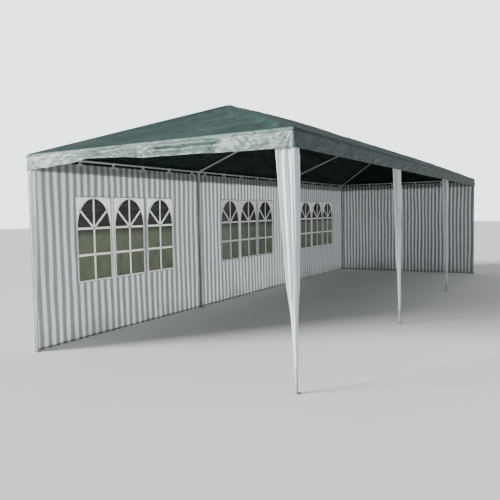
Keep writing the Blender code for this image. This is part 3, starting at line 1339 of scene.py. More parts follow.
@dataclass
class Studio:
    """Floor, light and camera, set as the photograph was taken."""

    camera_at: Point = (3.3261, -8.3219, 1.4074)
    yaw: float = -30.163
    pitch: float = -3.787
    roll: float = -1.137
    lens: float = 39.77
    sun_from: Point = (-0.68, -0.66, 0.33)
    sun_strength: float = 9.0
    sun_size: float = 24.0
    world_strength: float = 0.52
    backdrop: float = 3.0
    floor_half: float = 60.0

    def build(self) -> None:
        """Make the camera, the lights and the floor."""
        self.add_camera()
        self.add_light()
        self.add_floor()

    def add_camera(self) -> None:
        """Place the camera."""
        pitch = math.radians(self.pitch)
        turn = Matrix.Rotation(-math.radians(self.yaw), 3, "Z")
        forward = turn @ Vector((0.0, math.cos(pitch), math.sin(pitch)))
        data = bpy.data.cameras.new("camera")
        data.lens = self.lens
        data.sensor_width = 36.0
        camera = bpy.data.objects.new("camera", data)
        bpy.context.collection.objects.link(camera)
        level = forward.to_track_quat("-Z", "Y").to_matrix().to_4x4()
        rolled = level @ Matrix.Rotation(math.radians(self.roll), 4, "Z")
        camera.matrix_world = Matrix.Translation(self.camera_at) @ rolled
        bpy.context.scene.camera = camera

    def add_light(self) -> None:
        """Add the soft key light and the even fill of the room."""
        data = bpy.data.lights.new("key", "SUN")
        data.energy = self.sun_strength
        data.angle = math.radians(self.sun_size)
        data.color = (1.0, 0.985, 0.96)
        key = bpy.data.objects.new("key", data)
        key.rotation_euler = (-Vector(self.sun_from)).to_track_quat("-Z", "Y").to_euler()
        bpy.context.collection.objects.link(key)
        world = bpy.data.worlds.new("room")
        world.use_nodes = True
        background = world.node_tree.nodes["Background"]
        background.inputs["Color"].default_value = (0.93, 0.965, 1.0, 1.0)
        seen = world.node_tree.nodes.new("ShaderNodeLightPath")
        level = world.node_tree.nodes.new("ShaderNodeMath")
        level.operation = "MULTIPLY_ADD"
        level.inputs[1].default_value = self.backdrop - self.world_strength
        level.inputs[2].default_value = self.world_strength
        world.node_tree.links.new(seen.outputs["Is Camera Ray"], level.inputs[0])
        world.node_tree.links.new(level.outputs[0], background.inputs["Strength"])
        bpy.context.scene.world = world

    def add_floor(self) -> None:
        """Add the plain pale floor."""
        bpy.ops.mesh.primitive_plane_add(size=self.floor_half * 2, location=(0.0, 0.0, 0.0))
        floor = settle(bpy.context.active_object, "floor")
        recipe = Recipe("pale_floor")
        tone = recipe.mottle(recipe.place(), 0.4, 2.0)
        colour = recipe.blend(tone, (0.80, 0.80, 0.79), (0.83, 0.83, 0.82))
        dress(floor, recipe.surface(base_color=colour, roughness=0.75))


@dataclass
class Perimeter:
    """A round-cornered rectangle that the cover's rings follow, anticlockwise from the left front corner."""

    layout: Layout
    steps: dict[Side, float]
    corner_steps: int = 4

    def length(self, side: Side) -> float:
        """Return the length of one side of the eave."""
        return 2 * (self.layout.half_width if side.value[0] == 0.0 else self.layout.half_length)

    def columns(self) -> list[Column]:
        """List the columns of points that all rings share.

        Returns:
            For each column its side, its share along that side and its turn into the next side.
        """
        found: list[Column] = []
        for side, step in self.steps.items():
            found += [(side, share, 0.0) for share in spread(0.0, 1.0, step / self.length(side))]
            found += [(side, 1.0, turn / self.corner_steps) for turn in range(1, self.corner_steps)]
        return found

    def point(self, column: Column, run: float, corner: float) -> tuple[Vector, Vector, float]:
        """Find one point of a ring.

        Args:
            column: one of the shared columns.
            run: the ring's distance out from the ridge.
            corner: the radius of the ring's corners.

        Returns:
            The point in plan, the direction straight out, and the distance round the eave.
        """
        side, share, turn = column
        out = Vector((*side.value, 0.0))
        along = Vector((-out.y, out.x, 0.0))
        half = self.layout.ridge_half
        reach_out = run + (half if out.x == 0.0 else 0.0)
        reach_along = run + (half if out.x != 0.0 else 0.0) - corner
        angle = turn * math.pi / 2
        facing = out * math.cos(angle) + along * math.sin(angle)
        centre = out * (reach_out - corner) + along * reach_along * (2 * share - 1)
        sides = list(Side)
        lengths = [self.length(item) for item in sides]
        index = sides.index(side)
        return centre + facing * corner, facing, sum(lengths[:index]) + share * lengths[index]


@dataclass
class RoofCover:
    """The green cover: one sagging sheet over the tubes, and the valance sewn under its edge."""

    layout: Layout
    outside: bpy.types.Material
    edge: bpy.types.Material
    underside: bpy.types.Material
    sheet: float = 0.0014
    sag: dict[Side, float] = field(
        default_factory=lambda: {Side.FRONT: 0.030, Side.RIGHT: -0.046, Side.BACK: 0.026, Side.LEFT: 0.034}
    )
    corner: float = 0.012
    row_step: float = 0.036
    lap: float = 0.016
    tube_gap: float = 0.0176
    valance_corner: float = 0.016
    swing: tuple[Pair, ...] = (
        (0.0, 5.0), (0.3, 12.0), (0.6, 27.0), (1.0, 46.0), (1.35, 40.0), (1.65, 24.0),
        (2.1, 19.0), (2.4, 11.0), (2.75, 6.0), (3.0, 4.0),
    )
    deep_fold: tuple[Pair, ...] = ((1.5, 0.0), (1.8, 1.0), (2.2, 1.0), (2.4, 0.0))
    slanting: tuple[Pair, ...] = ((2.0, 0.0), (2.35, 1.0), (2.8, 1.0), (2.95, 0.0))
    roof_steps: dict[Side, float] = field(
        default_factory=lambda: {Side.FRONT: 0.020, Side.RIGHT: 0.050, Side.BACK: 0.036, Side.LEFT: 0.050}
    )
    valance_steps: dict[Side, float] = field(
        default_factory=lambda: {Side.FRONT: 0.010, Side.RIGHT: 0.018, Side.BACK: 0.022, Side.LEFT: 0.024}
    )

    @property
    def hang_gap(self) -> float:
        """Return how far outside the middle of the eave tube the cloth hangs."""
        return self.layout.valance_out - self.layout.half_width

    def hollow(self, x: float, y: float, run: float) -> float:
        """Work out how far the sheet sinks between the tubes that carry it.

        Args:
            x: place across the tent.
            y: place along the tent.
            run: distance out from the ridge.

        Returns:
            The height added to the flat slope, negative where the sheet sags.
        """
        reach = self.layout.half_width / 2
        past = abs(y) - self.layout.ridge_half
        to_hip = abs(past - abs(x)) / math.sqrt(2)
        to_rafter = abs(abs(y) - self.layout.ridge_half / 2)
        to_ridge = abs(x) if past < 0 else math.hypot(x, past)
        held = 1.0
        for gap in (to_hip, to_rafter, to_ridge, max(0.0, self.layout.half_width - run)):
            held *= 1.0 - (1.0 - min(gap / reach, 1.0)) ** 2
        over_tubes = 0.004 * bell(to_hip, 0.024) + 0.0025 * bell(to_rafter, 0.020)
        end = past > abs(x)
        side = (Side.FRONT if y < 0 else Side.BACK) if end else (Side.RIGHT if x > 0 else Side.LEFT)
        return over_tubes - self.sag[side] * held

    def wrinkles(self, x: float, y: float, run: float) -> float:
        """Work out the creases of the slopes.

        Args:
            x: place across the tent.
            y: place along the tent.
            run: distance out from the ridge.

        Returns:
            The height added to the sagging sheet.
        """
        past = abs(y) - self.layout.ridge_half
        to_hip = (past - abs(x)) / math.sqrt(2)
        end_slope = to_hip > 0
        along, down = (x, run) if end_slope else (y, run)
        calm = smooth_step(0.0, 0.12, min(abs(to_hip), abs(abs(y) - self.layout.ridge_half / 2), run))
        ease = calm * smooth_step(self.layout.half_width + 0.01, self.layout.half_width - 0.10, run)
        streaks = 0.0055 * (ridged(along * 0.9, down * 8.0, 4.3) - 0.5)
        broad = 0.0065 * noise.noise(Vector((x * 2.3, y * 2.3, 8.1)))
        crumple = 0.0042 * (ridged(x * 5.2 + y * 1.8, y * 5.2 - x * 2.0, 1.7) - 0.5)
        crumple += 0.0022 * (ridged(x * 12.5 - y * 4.0, y * 12.5, 6.1) - 0.5)
        height = ease * (streaks + broad + crumple)
        from_corner = math.hypot(self.layout.half_width - abs(x), self.layout.half_length - abs(y))
        angle = math.atan2(self.layout.half_length - abs(y), self.layout.half_width - abs(x) + 1e-6)
        rays = math.sin(angle * 17.0 + 2.0 * noise.noise(Vector((x, y, 0.0))))
        height += 0.0030 * ease * rays * bell(from_corner, 0.55)
        if end_slope and x > 0 and y < 0:
            up_hip = (self.layout.half_width - run) * math.sqrt(2)
            held = smooth_step(0.02, 0.16, up_hip) * smooth_step(1.15, 0.55, up_hip)
            height += held * (0.030 * bell(to_hip - 0.050, 0.021) - 0.012 * bell(to_hip - 0.125, 0.04))
        return height

    def roof_point(self, perimeter: Perimeter, column: Column, run: float) -> Vector:
        """Find a point of the sloping part of the roof.

        Args:
            perimeter: the outline that the rings follow.
            column: the column of the point.
            run: its distance out from the ridge.

        Returns:
            The point.
        """
        corner = min(self.corner, run * 0.5)
        flat, _, _ = perimeter.point(column, run, corner)
        lift = (self.tube_gap + self.sheet / 2) / math.cos(self.layout.slope_angle)
        height = self.layout.ridge_z + lift - run * math.tan(self.layout.slope_angle)
        crown = min(run, 0.05) - 0.05
        height += crown * 0.12 + self.hollow(flat.x, flat.y, run) + self.wrinkles(flat.x, flat.y, run)
        return Vector((flat.x, flat.y, height))

    def edge_point(
        self, perimeter: Perimeter, column: Column, angle: float, depth: float, gap: float
    ) -> Vector:
        """Find a point where the sheet bends over the eave tube and hangs down.

        Args:
            perimeter: the outline that the rings follow.
            column: the column of the point.
            angle: the turn round the tube, from level.
            depth: how far below the tube's middle it hangs.
            gap: the distance from the tube's middle.

        Returns:
            The point.
        """
        run = self.layout.half_width + gap * math.cos(angle)
        flat, facing, _ = perimeter.point(column, run, self.corner)
        wobble = 0.0012 * noise.noise(Vector((flat.x * 6.0, flat.y * 6.0, 3.0)))
        height = self.layout.eave_z + gap * math.sin(angle) - depth
        return Vector((flat.x, flat.y, height)) + facing * (wobble + 0.0006)

    def lay_flat(self, perimeter: Perimeter, columns: list[Column], depths: list[float]) -> list[list[Pair]]:
        """Lay rings of points out on the flat cloth.

        Args:
            perimeter: the outline that the rings follow.
            columns: the columns of the rings.
            depths: the distance of each ring from the ridge, down the cloth.

        Returns:
            For each ring its places on the cloth, with the first column again at the end.
        """
        places = [perimeter.point(column, self.layout.half_width, self.corner)[2] for column in columns]
        return [[(place, depth) for place in (*places, self.layout.around)] for depth in depths]

    def roof(self) -> bpy.types.Object:
        """Make the roof sheet from its lap below the eave up to the ridge.

        Returns:
            The roof sheet.
        """
        perimeter = Perimeter(self.layout, self.roof_steps)
        columns = perimeter.columns()
        steep = math.pi / 2 - self.layout.slope_angle
        outer_gap = self.hang_gap + 0.0004
        last_run = self.layout.half_width + self.tube_gap * math.cos(steep)
        rows, flats = [], []
        for depth in (self.lap, self.lap / 2, 0.0):
            rows.append([self.edge_point(perimeter, column, 0.0, depth, outer_gap) for column in columns])
            flats.append(last_run + 0.02 + depth)
        for turn in (0.22, 0.42, 0.62, 0.82):
            gap = outer_gap + (self.tube_gap - outer_gap) * turn
            rows.append([self.edge_point(perimeter, column, steep * turn, 0.0, gap) for column in columns])
            flats.append(last_run + 0.02 * (1.0 - turn))
        runs = spread(0.0, last_run, self.row_step)[::-1]
        for run in runs:
            rows.append([self.roof_point(perimeter, column, run) for column in columns])
            flats.append(run / math.cos(self.layout.slope_angle))
        obj = Cloth("cover_roof", rows, self.lay_flat(perimeter, columns, flats), closed=True).make()
        dress(obj, self.outside, self.underside)
        thicken(obj, self.sheet, inner=True)
        return obj

    def crumple(self, place: float, depth: float) -> float:
        """Work out the creases of the valance.

        Args:
            place: the distance round the eave.
            depth: the distance down the cloth.

        Returns:
            How far the cloth stands out from its smooth fall.
        """
        front = 1.0 if place <= 2 * self.layout.half_width else 0.0
        size = 0.0112 if front else 0.0090
        rough = (ridged(place * 4.6 + depth * 8.0, depth * 9.0 - place * 1.2, 3.1) - 0.45)
        rough += 0.62 * (ridged(place * 11.5 - depth * 13.0, depth * 17.0 + place * 2.0, 7.7) - 0.45)
        rough += 0.14 * (ridged(place * 24.0 + depth * 20.0, depth * 34.0, 2.2) - 0.45)
        total = size * rough
        slant = (place * 0.50 - depth) * 17.0
        creases = ridged(slant, place * 2.6 + depth * 3.0, 5.5) - 0.5
        total += through(self.slanting, place) * front * 0.0062 * creases
        total += 0.005 * noise.noise(Vector((place * 3.0, 0.0, 9.0))) * depth / 0.14
        away = min(abs(place - corner) for corner in self.layout.corners)
        return total * smooth_step(0.004, 0.045, depth) * (0.15 + 0.85 * smooth_step(0.0, 0.12, away))

    def fan(self, place: float, depth: float) -> float:
        """Work out the creases that fan out from the corners of the valance.

        Args:
            place: the distance round the eave.
            depth: the distance down the cloth.

        Returns:
            How far the cloth stands out from its smooth fall.
        """
        total = 0.0
        for corner in self.layout.corners:
            away = place - corner
            if abs(away) < 0.4:
                angle = math.atan2(abs(away), depth + 0.012)
                rays = math.sin(angle * 15.0 + corner)
                total += 0.0042 * rays * bell(away, 0.11) * smooth_step(0.0, 0.03, depth)
        return total

    def valance_point(self, perimeter: Perimeter, column: Column, depth: float) -> Vector:
        """Find a point of the valance.

        Args:
            perimeter: the outline that the rings follow.
            column: the column of the point.
            depth: the distance down the cloth.

        Returns:
            The point.
        """
        _, _, place = perimeter.point(column, self.layout.half_width, self.valance_corner)
        front = column[0] is Side.FRONT
        drift = 4.0 + 4.0 * noise.noise(Vector((place * 0.7, 2.0, 0.0)))
        swing = math.radians(through(self.swing, place) if front else drift)
        hang = max(depth, 0.0)
        out = self.hang_gap - 0.0010 + hang * math.sin(swing)
        if front:
            shape = 0.036 * bell(depth - 0.040, 0.020) - 0.018 * bell(depth - 0.078, 0.020)
            shape += 0.022 * smooth_step(0.085, 0.143, depth)
            out += through(self.deep_fold, place) * shape
        out += self.crumple(place, depth) + self.fan(place, depth)
        hem = 0.0005 if depth > 0.128 else 0.0
        walled = column[0] in (Side.LEFT, Side.BACK)
        out = max(out, self.hang_gap - (0.0018 if walled else 0.0030)) + hem
        flat, facing, _ = perimeter.point(column, self.layout.half_width, 0.0001)
        height = self.layout.eave_z - hang * math.cos(swing) + (0.010 if depth < 0 else 0.0)
        return Vector((flat.x, flat.y, height)) + facing * out

    def valance(self) -> bpy.types.Object:
        """Make the valance, one strip round the whole tent.

        Returns:
            The valance.
        """
        perimeter = Perimeter(self.layout, self.valance_steps, 6)
        columns = perimeter.columns()
        drop = self.layout.eave_z - self.layout.valance_bottom
        depths = [-0.01, *spread(0.0, drop - 0.014, 0.0088), drop - 0.013, drop - 0.006, drop][::-1]
        rows = [[self.valance_point(perimeter, column, depth) for column in columns] for depth in depths]
        base = self.layout.half_width / math.cos(self.layout.slope_angle) + 0.03
        flat = self.lay_flat(perimeter, columns, [base + depth for depth in depths])
        obj = Cloth("cover_valance", rows, flat, closed=True).make()
        dress(obj, self.edge, self.underside)
        thicken(obj, self.sheet * 0.8, inner=True)
        return obj

    def build(self) -> None:
        """Make the roof sheet and the valance and tie them to the frame."""
        roof = self.roof()
        valance = self.valance()
        sides = [side.name.lower() for side in Side]
        hand_over(roof, [f"roof_{side}" for side in sides])
        hand_over(valance, [f"valance_{side}" for side in sides])
        rests = ["round_ridge_middle", "round_ridge_front", "round_ridge_back"]
        ends = [name for name, _, y in self.layout.posts() if abs(y) > self.layout.ridge_half]
        rests += [f"tube_hip_rafter_{name}" for name in ends]


@dataclass
class TapeTie:
    """A white tape looped round the eave tube, with a small knot and two tails."""

    layout: Layout
    cloth: bpy.types.Material
    width: float = 0.018
    thick: float = 0.0009
    loop_r: float = 0.0146
    drop: float = 0.055

    def strip(self, path: Sequence[Pair], width: float, lean: float = 0.0) -> bpy.types.Object:
        """Make a flat strip of tape along a path.

        Args:
            path: distance in from the tube's middle and height above it, for each point.
            width: the width of the tape.
            lean: how far its end drifts along the tube.

        Returns:
            The strip, for a wall that faces -X, with the tube's middle at the origin.
        """
        rows, flat, length = [], [], 0.0
        for number, (inwards, up) in enumerate(path):
            drift = lean * (number / (len(path) - 1)) ** 1.5
            rows.append([Vector((inwards, drift + share * width / 2, up)) for share in (-1.0, 0.0, 1.0)])
            if number:
                length += math.dist(path[number - 1], path[number])
            flat.append([(share * width, length) for share in (-0.5, 0.0, 0.5)])
        return Cloth("tape", rows, flat).finished(self.cloth, self.thick)

    def make(self) -> bpy.types.Object:
        """Model one tie with its tube's middle at the origin.

        Returns:
            The tie.
        """
        wall = self.layout.wall_mid - self.layout.half_width
        path = [(-wall + 0.0012, -self.drop), (-wall + 0.0016, -0.030)]
        for step in range(15):
            angle = math.radians(-118.0 + 298.0 * step / 14)
            path.append((self.loop_r * math.cos(angle), self.loop_r * math.sin(angle)))
        path += [(-wall - 0.0010, -0.022), (-wall - 0.0011, -self.drop)]
        loop = self.strip(path, self.width)
        knot = make_knot(Vector((0.004, 0.0, -0.019)), 0.008, 0.0022, 190.0, (0.9, 1.25, 0.8))
        dress(knot, self.cloth)
        smooth(knot, 60.0)
        tails = []
        for lean, length in ((0.020, 0.050), (-0.014, 0.038)):
            shares = spread(0.0, 1.0, 0.12)
            points = [(0.006 + 0.010 * math.sin(share * 2.6), -0.020 - length * share) for share in shares]
            tails.append(self.strip(points, self.width * 0.55, lean))
        return join([loop, knot, *tails], "tie")


@dataclass
class WindowSet:
    """The three arched windows of a long panel: white surrounds with bars, and one clear film."""

    layout: Layout
    white: bpy.types.Material
    film: bpy.types.Material
    count: int = 3
    pitch: float = 0.605
    half: float = 0.258
    outer_half: float = 0.284
    sill: float = 0.668
    outer_sill: float = 0.642
    spring: float = 1.270
    rise: float = 0.345
    outer_top: float = 1.642
    bar_z: float = 0.962
    bar: float = 0.027
    fan_end: Pair = (0.222, 0.218)
    frame_thick: float = 0.0044
    bar_step: float = 0.0003
    film_thick: float = 0.0004
    hole_inset: float = 0.012

    def centres(self, middle: float) -> list[float]:
        """Return the middle of each window, given the middle of the bay."""
        return [middle + (number - (self.count - 1) / 2) * self.pitch for number in range(self.count)]

    def hole_edges(self, middle: float) -> list[Pair]:
        """Return where the cloth is cut for each window, along the wall."""
        reach = self.outer_half - self.hole_inset
        return [(centre - reach, centre + reach) for centre in self.centres(middle)]

    @property
    def hole_heights(self) -> Pair:
        """Return the bottom and top of the cuts."""
        return self.outer_sill + self.hole_inset, self.outer_top - self.hole_inset

    def upright(self, share: float, way: float) -> tuple[Pair, Pair]:
        """Find a point on an upright edge of the opening, and its partner on the rectangle round it.

        Args:
            share: how far up the edge the point is.
            way: 1 for the edge at the higher end of the wall, -1 for the other.

        Returns:
            The two points.
        """
        inner = self.sill + (self.spring - self.sill) * share
        outer = self.outer_sill + (self.spring - self.outer_sill) * share
        return (way * self.half, inner), (way * self.outer_half, outer)

    def outline(self) -> list[tuple[Pair, Pair]]:
        """Trace the opening and the rectangle round it together.

        Returns:
            Pairs of a point on the opening and its partner on the rectangle, anticlockwise.
        """
        pairs = []
        for share in spread(-1.0, 1.0, 0.1):
            pairs.append(((share * self.half, self.sill), (share * self.outer_half, self.outer_sill)))
        pairs += [self.upright(share, 1.0) for share in spread(0.0, 1.0, 0.06)[1:]]
        head = self.outer_top - self.spring
        to_corner = math.atan2(head / self.rise, self.outer_half / self.half)
        for angle in stops([0.0, to_corner, math.pi - to_corner, math.pi], 0.11)[1:]:
            across, up = self.half * math.cos(angle), self.rise * math.sin(angle)
            grow = min(self.outer_half / max(abs(across), 1e-9), head / max(up, 1e-9))
            pairs.append(((across, self.spring + up), (across * grow, self.spring + up * grow)))
        pairs += [self.upright(share, -1.0) for share in spread(0.0, 1.0, 0.06)[1:-1][::-1]]
        return pairs

    def bars(self) -> list[tuple[Pair, Pair]]:
        """List the bars of one window.

        Returns:
            The two ends of each bar, along the wall from the window's middle and up.
        """
        reach = self.half + 0.008
        across, up = self.fan_end
        return [
            ((0.0, self.sill - 0.006), (0.0, self.spring + self.rise + 0.008)),
            ((-reach, self.bar_z), (reach, self.bar_z)),
            ((-reach, self.spring), (reach, self.spring)),
            ((0.0, self.spring), (-across, self.spring + up)),
            ((0.0, self.spring), (across, self.spring + up)),
        ]

    def frames(self, name: str, middle: float, place: Place) -> bpy.types.Object:
        """Make the white surrounds and bars of one panel.

        Args:
            name: the piece's name.
            middle: the middle of the bay along the wall.
            place: turns a place along the wall and a height into a point.

        Returns:
            The surrounds of all the panel's windows as one piece.
        """
        pieces = []
        for centre in self.centres(middle):
            pairs = self.outline()
            rows, flat = [], []
            for share in (0.0, 0.34, 0.67, 1.0):
                spots = [
                    (centre + a[0] + (b[0] - a[0]) * share, a[1] + (b[1] - a[1]) * share) for a, b in pairs
                ]
                rows.append([place(*spot) for spot in spots])
                flat.append([*spots, spots[0]])
            pieces.append(Cloth("surround", rows, flat, closed=True).finished(self.white, self.frame_thick))
            for number, (start, end) in enumerate(self.bars(), 1):
                thickness = self.frame_thick - self.bar_step * number
                pieces.append(self.one_bar(centre, start, end, place, thickness))
        return join(pieces, name)

    def one_bar(
        self, centre: float, start: Pair, end: Pair, place: Place, thickness: float
    ) -> bpy.types.Object:
        """Make one straight bar that lies on the film.

        Args:
            centre: the middle of the window along the wall.
            start: one end of the bar, from the window's middle.
            end: its other end.
            place: turns a place along the wall and a height into a point.
            thickness: how thick the bar is.

        Returns:
            The bar.
        """
        first, last = Vector(start), Vector(end)
        way = (last - first).normalized()
        side = Vector((-way.y, way.x)) * self.bar / 2
        rows, flat = [], []
        for share in spread(0.0, 1.0, 0.035 / (last - first).length):
            spot = first.lerp(last, share)
            ends = [(centre + spot.x + side.x * k, spot.y + side.y * k) for k in (-1.0, 0.0, 1.0)]
            rows.append([place(*item) for item in ends])
            flat.append(ends)
        return Cloth("bar", rows, flat).finished(self.white, thickness)

    def pane(self, name: str, middle: float, place: Place) -> bpy.types.Object:
        """Make the clear film that closes the panel's windows.

        Args:
            name: the piece's name.
            middle: the middle of the bay along the wall.
            place: turns a place along the wall and a height into a point.

        Returns:
            The film.
        """
        low, high = self.hole_heights
        reach = (self.count - 1) / 2 * self.pitch + self.outer_half - 0.004
        columns = spread(middle - reach, middle + reach, 0.03)
        heights = spread(low - 0.008, high + 0.008, 0.03)
        rows = [[place(along, height) for along in columns] for height in heights]
        flat = [[(along - middle, height) for along in columns] for height in heights]
        return Cloth(name, rows, flat).finished(self.film, self.film_thick)


@dataclass
class StripedWall:
    """One side wall: striped cloth with hems, tied to the eave tube."""

    layout: Layout
    name: str
    node: str
    low: float
    high: float
    cloth: bpy.types.Material
    tie: bpy.types.Object
    seed: float
    at_end: bool = False
    windows: WindowSet | None = None
    film_node: str = ""
    thick: float = 0.0016
    hem: float = 0.026
    hem_thick: float = 0.0030
    step: float = 0.028
    swell: float = 0.013
    ripple: float = 0.0065
    tie_pitch: float = 0.60
    overhang: float = 0.0185

    @property
    def middle(self) -> float:
        """Return the middle of the wall, measured along it."""
        return (self.low + self.high) / 2

    def billow(self, along: float, height: float) -> float:
        """Work out how far the cloth stands out from flat.

        Args:
            along: place along the wall.
            height: height above the ground.

        Returns:
            The distance outwards.
        """
        edge = smooth_step(0.0, 0.22, min(along - self.low, self.high - along))
        calm = smooth_step(self.layout.valance_bottom, self.layout.valance_bottom - 0.45, height)
        share = (along - self.low) / (self.high - self.low)
        up = (height - self.layout.wall_bottom) / (self.layout.wall_top - self.layout.wall_bottom)
        body = self.swell * math.sin(math.pi * share) * math.sin(math.pi * min(1.0, up * 0.9 + 0.15))
        folds = self.ripple * noise.noise(Vector((along * 3.4, height * 0.5, self.seed)))
        folds += self.ripple * 0.5 * noise.noise(Vector((along * 9.0, height * 0.9, self.seed + 4.0)))
        folds += self.ripple * 0.08 * noise.noise(Vector((along * 21.0, height * 2.5, self.seed + 9.0)))
        loose = 1.0 + 0.8 * smooth_step(0.5, 0.02, height)
        return edge * calm * (body + folds * loose)

    def place(self, along: float, height: float) -> Vector:
        """Find a point of the wall.

        Args:
            along: place along the wall.
            height: height above the ground.

        Returns:
            The point.
        """
        out = self.billow(along, height)
        if self.at_end:
            gap = self.layout.wall_mid - self.layout.half_width
            return Vector((along, self.layout.half_length + gap + out, height))
        return Vector((-self.layout.wall_mid - out, along, height))

    def patch(
        self, name: str, columns: list[float], heights: list[float], thickness: float
    ) -> bpy.types.Object:
        """Make a stretch of the cloth.

        Args:
            name: the object's name.
            columns: the places along the wall.
            heights: the heights.
            thickness: how thick it is.

        Returns:
            The stretch of cloth.
        """
        rows = [[self.place(along, height) for along in columns] for height in heights]
        flat = [[(along - self.low, height) for along in columns] for height in heights]
        return Cloth(name, rows, flat, skip=self.cut_out).finished(self.cloth, thickness)

    def cut_out(self, along: float, height: float) -> bool:
        """Tell whether a face of the cloth is cut away for a window.

        Args:
            along: its place along the flat cloth.
            height: its height above the ground.

        Returns:
            Whether it is left out.
        """
        if self.windows is None:
            return False
        low, high = self.windows.hole_heights
        place = along + self.low
        return low < height < high and any(a < place < b for a, b in self.windows.hole_edges(self.middle))

    def sheet_piece(self) -> bpy.types.Object:
        """Make the wall's cloth with its four hems.

        Returns:
            The wall.
        """
        bottom, top = self.layout.wall_bottom - self.overhang, self.layout.wall_top
        across = [self.low, *(edge for pair in self.holes() for edge in pair), self.high]
        up = [bottom, *(self.windows.hole_heights if self.windows else ()), top]
        columns, heights = stops(across, self.step), stops(up, self.step)
        pieces = [self.patch(self.name, columns, heights, self.thick)]
        whole_up, whole_across = spread(bottom, top, self.step), spread(self.low, self.high, self.step)
        for edge, inner in ((self.low, self.low + self.hem), (self.high, self.high - self.hem)):
            pieces.append(self.patch("hem", sorted((edge, inner)), whole_up, self.hem_thick))
        for edge, inner in ((bottom, bottom + self.hem), (top, top - self.hem)):
            pieces.append(self.patch("hem", whole_across, sorted((edge, inner)), self.hem_thick * 0.97))
        return join(pieces, self.name)

    def holes(self) -> list[Pair]:
        """Return where windows are cut along the wall."""
        return self.windows.hole_edges(self.middle) if self.windows else []

    def ties(self) -> bpy.types.Object:
        """Set copies of the tie along the wall's top edge.

        Returns:
            All the wall's ties as one piece.
        """
        first, last = self.low + 0.16, self.high - 0.16
        copies = []
        for number, along in enumerate(spread(first, last, self.tie_pitch)):
            shift = along + 0.03 * noise.noise(Vector((number * 3.7, self.seed, 0.5)))
            mirrored = Matrix.Identity(4)
            if number % 2:
                mirrored = Matrix.Scale(-1.0, 4, EAST) @ Matrix.Rotation(math.pi, 4, "Z")
            at = Matrix.Translation((-self.layout.half_width, shift, self.layout.eave_z))
            if self.at_end:
                at = Matrix.Translation((shift, self.layout.half_length, self.layout.eave_z))
                at @= Matrix.Rotation(-math.pi / 2, 4, "Z")
            copy = copy_to(self.tie, "tie_copy", at @ mirrored)
            if number % 2:
                copy.data.flip_normals()
            copies.append(copy)
        return join(copies, f"ties_{self.name}")

    def build(self) -> None:
        """Make the wall, its ties and its windows and tie them to the frame."""
        wall = self.sheet_piece()
        ties = self.ties()
        hand_over(wall, [self.node])
        hand_over(ties)
        area = (self.high - self.low) * (self.layout.wall_top - self.layout.wall_bottom)
        if self.windows:
            frames = self.windows.frames(f"window_frames_{self.name}", self.middle, self.place)
            hand_over(frames)
            film = self.windows.pane(f"film_{self.name}", self.middle, self.place)
            hand_over(film, [self.film_node])
            low, high = self.windows.hole_heights
            area -= sum(b - a for a, b in self.holes()) * (high - low)


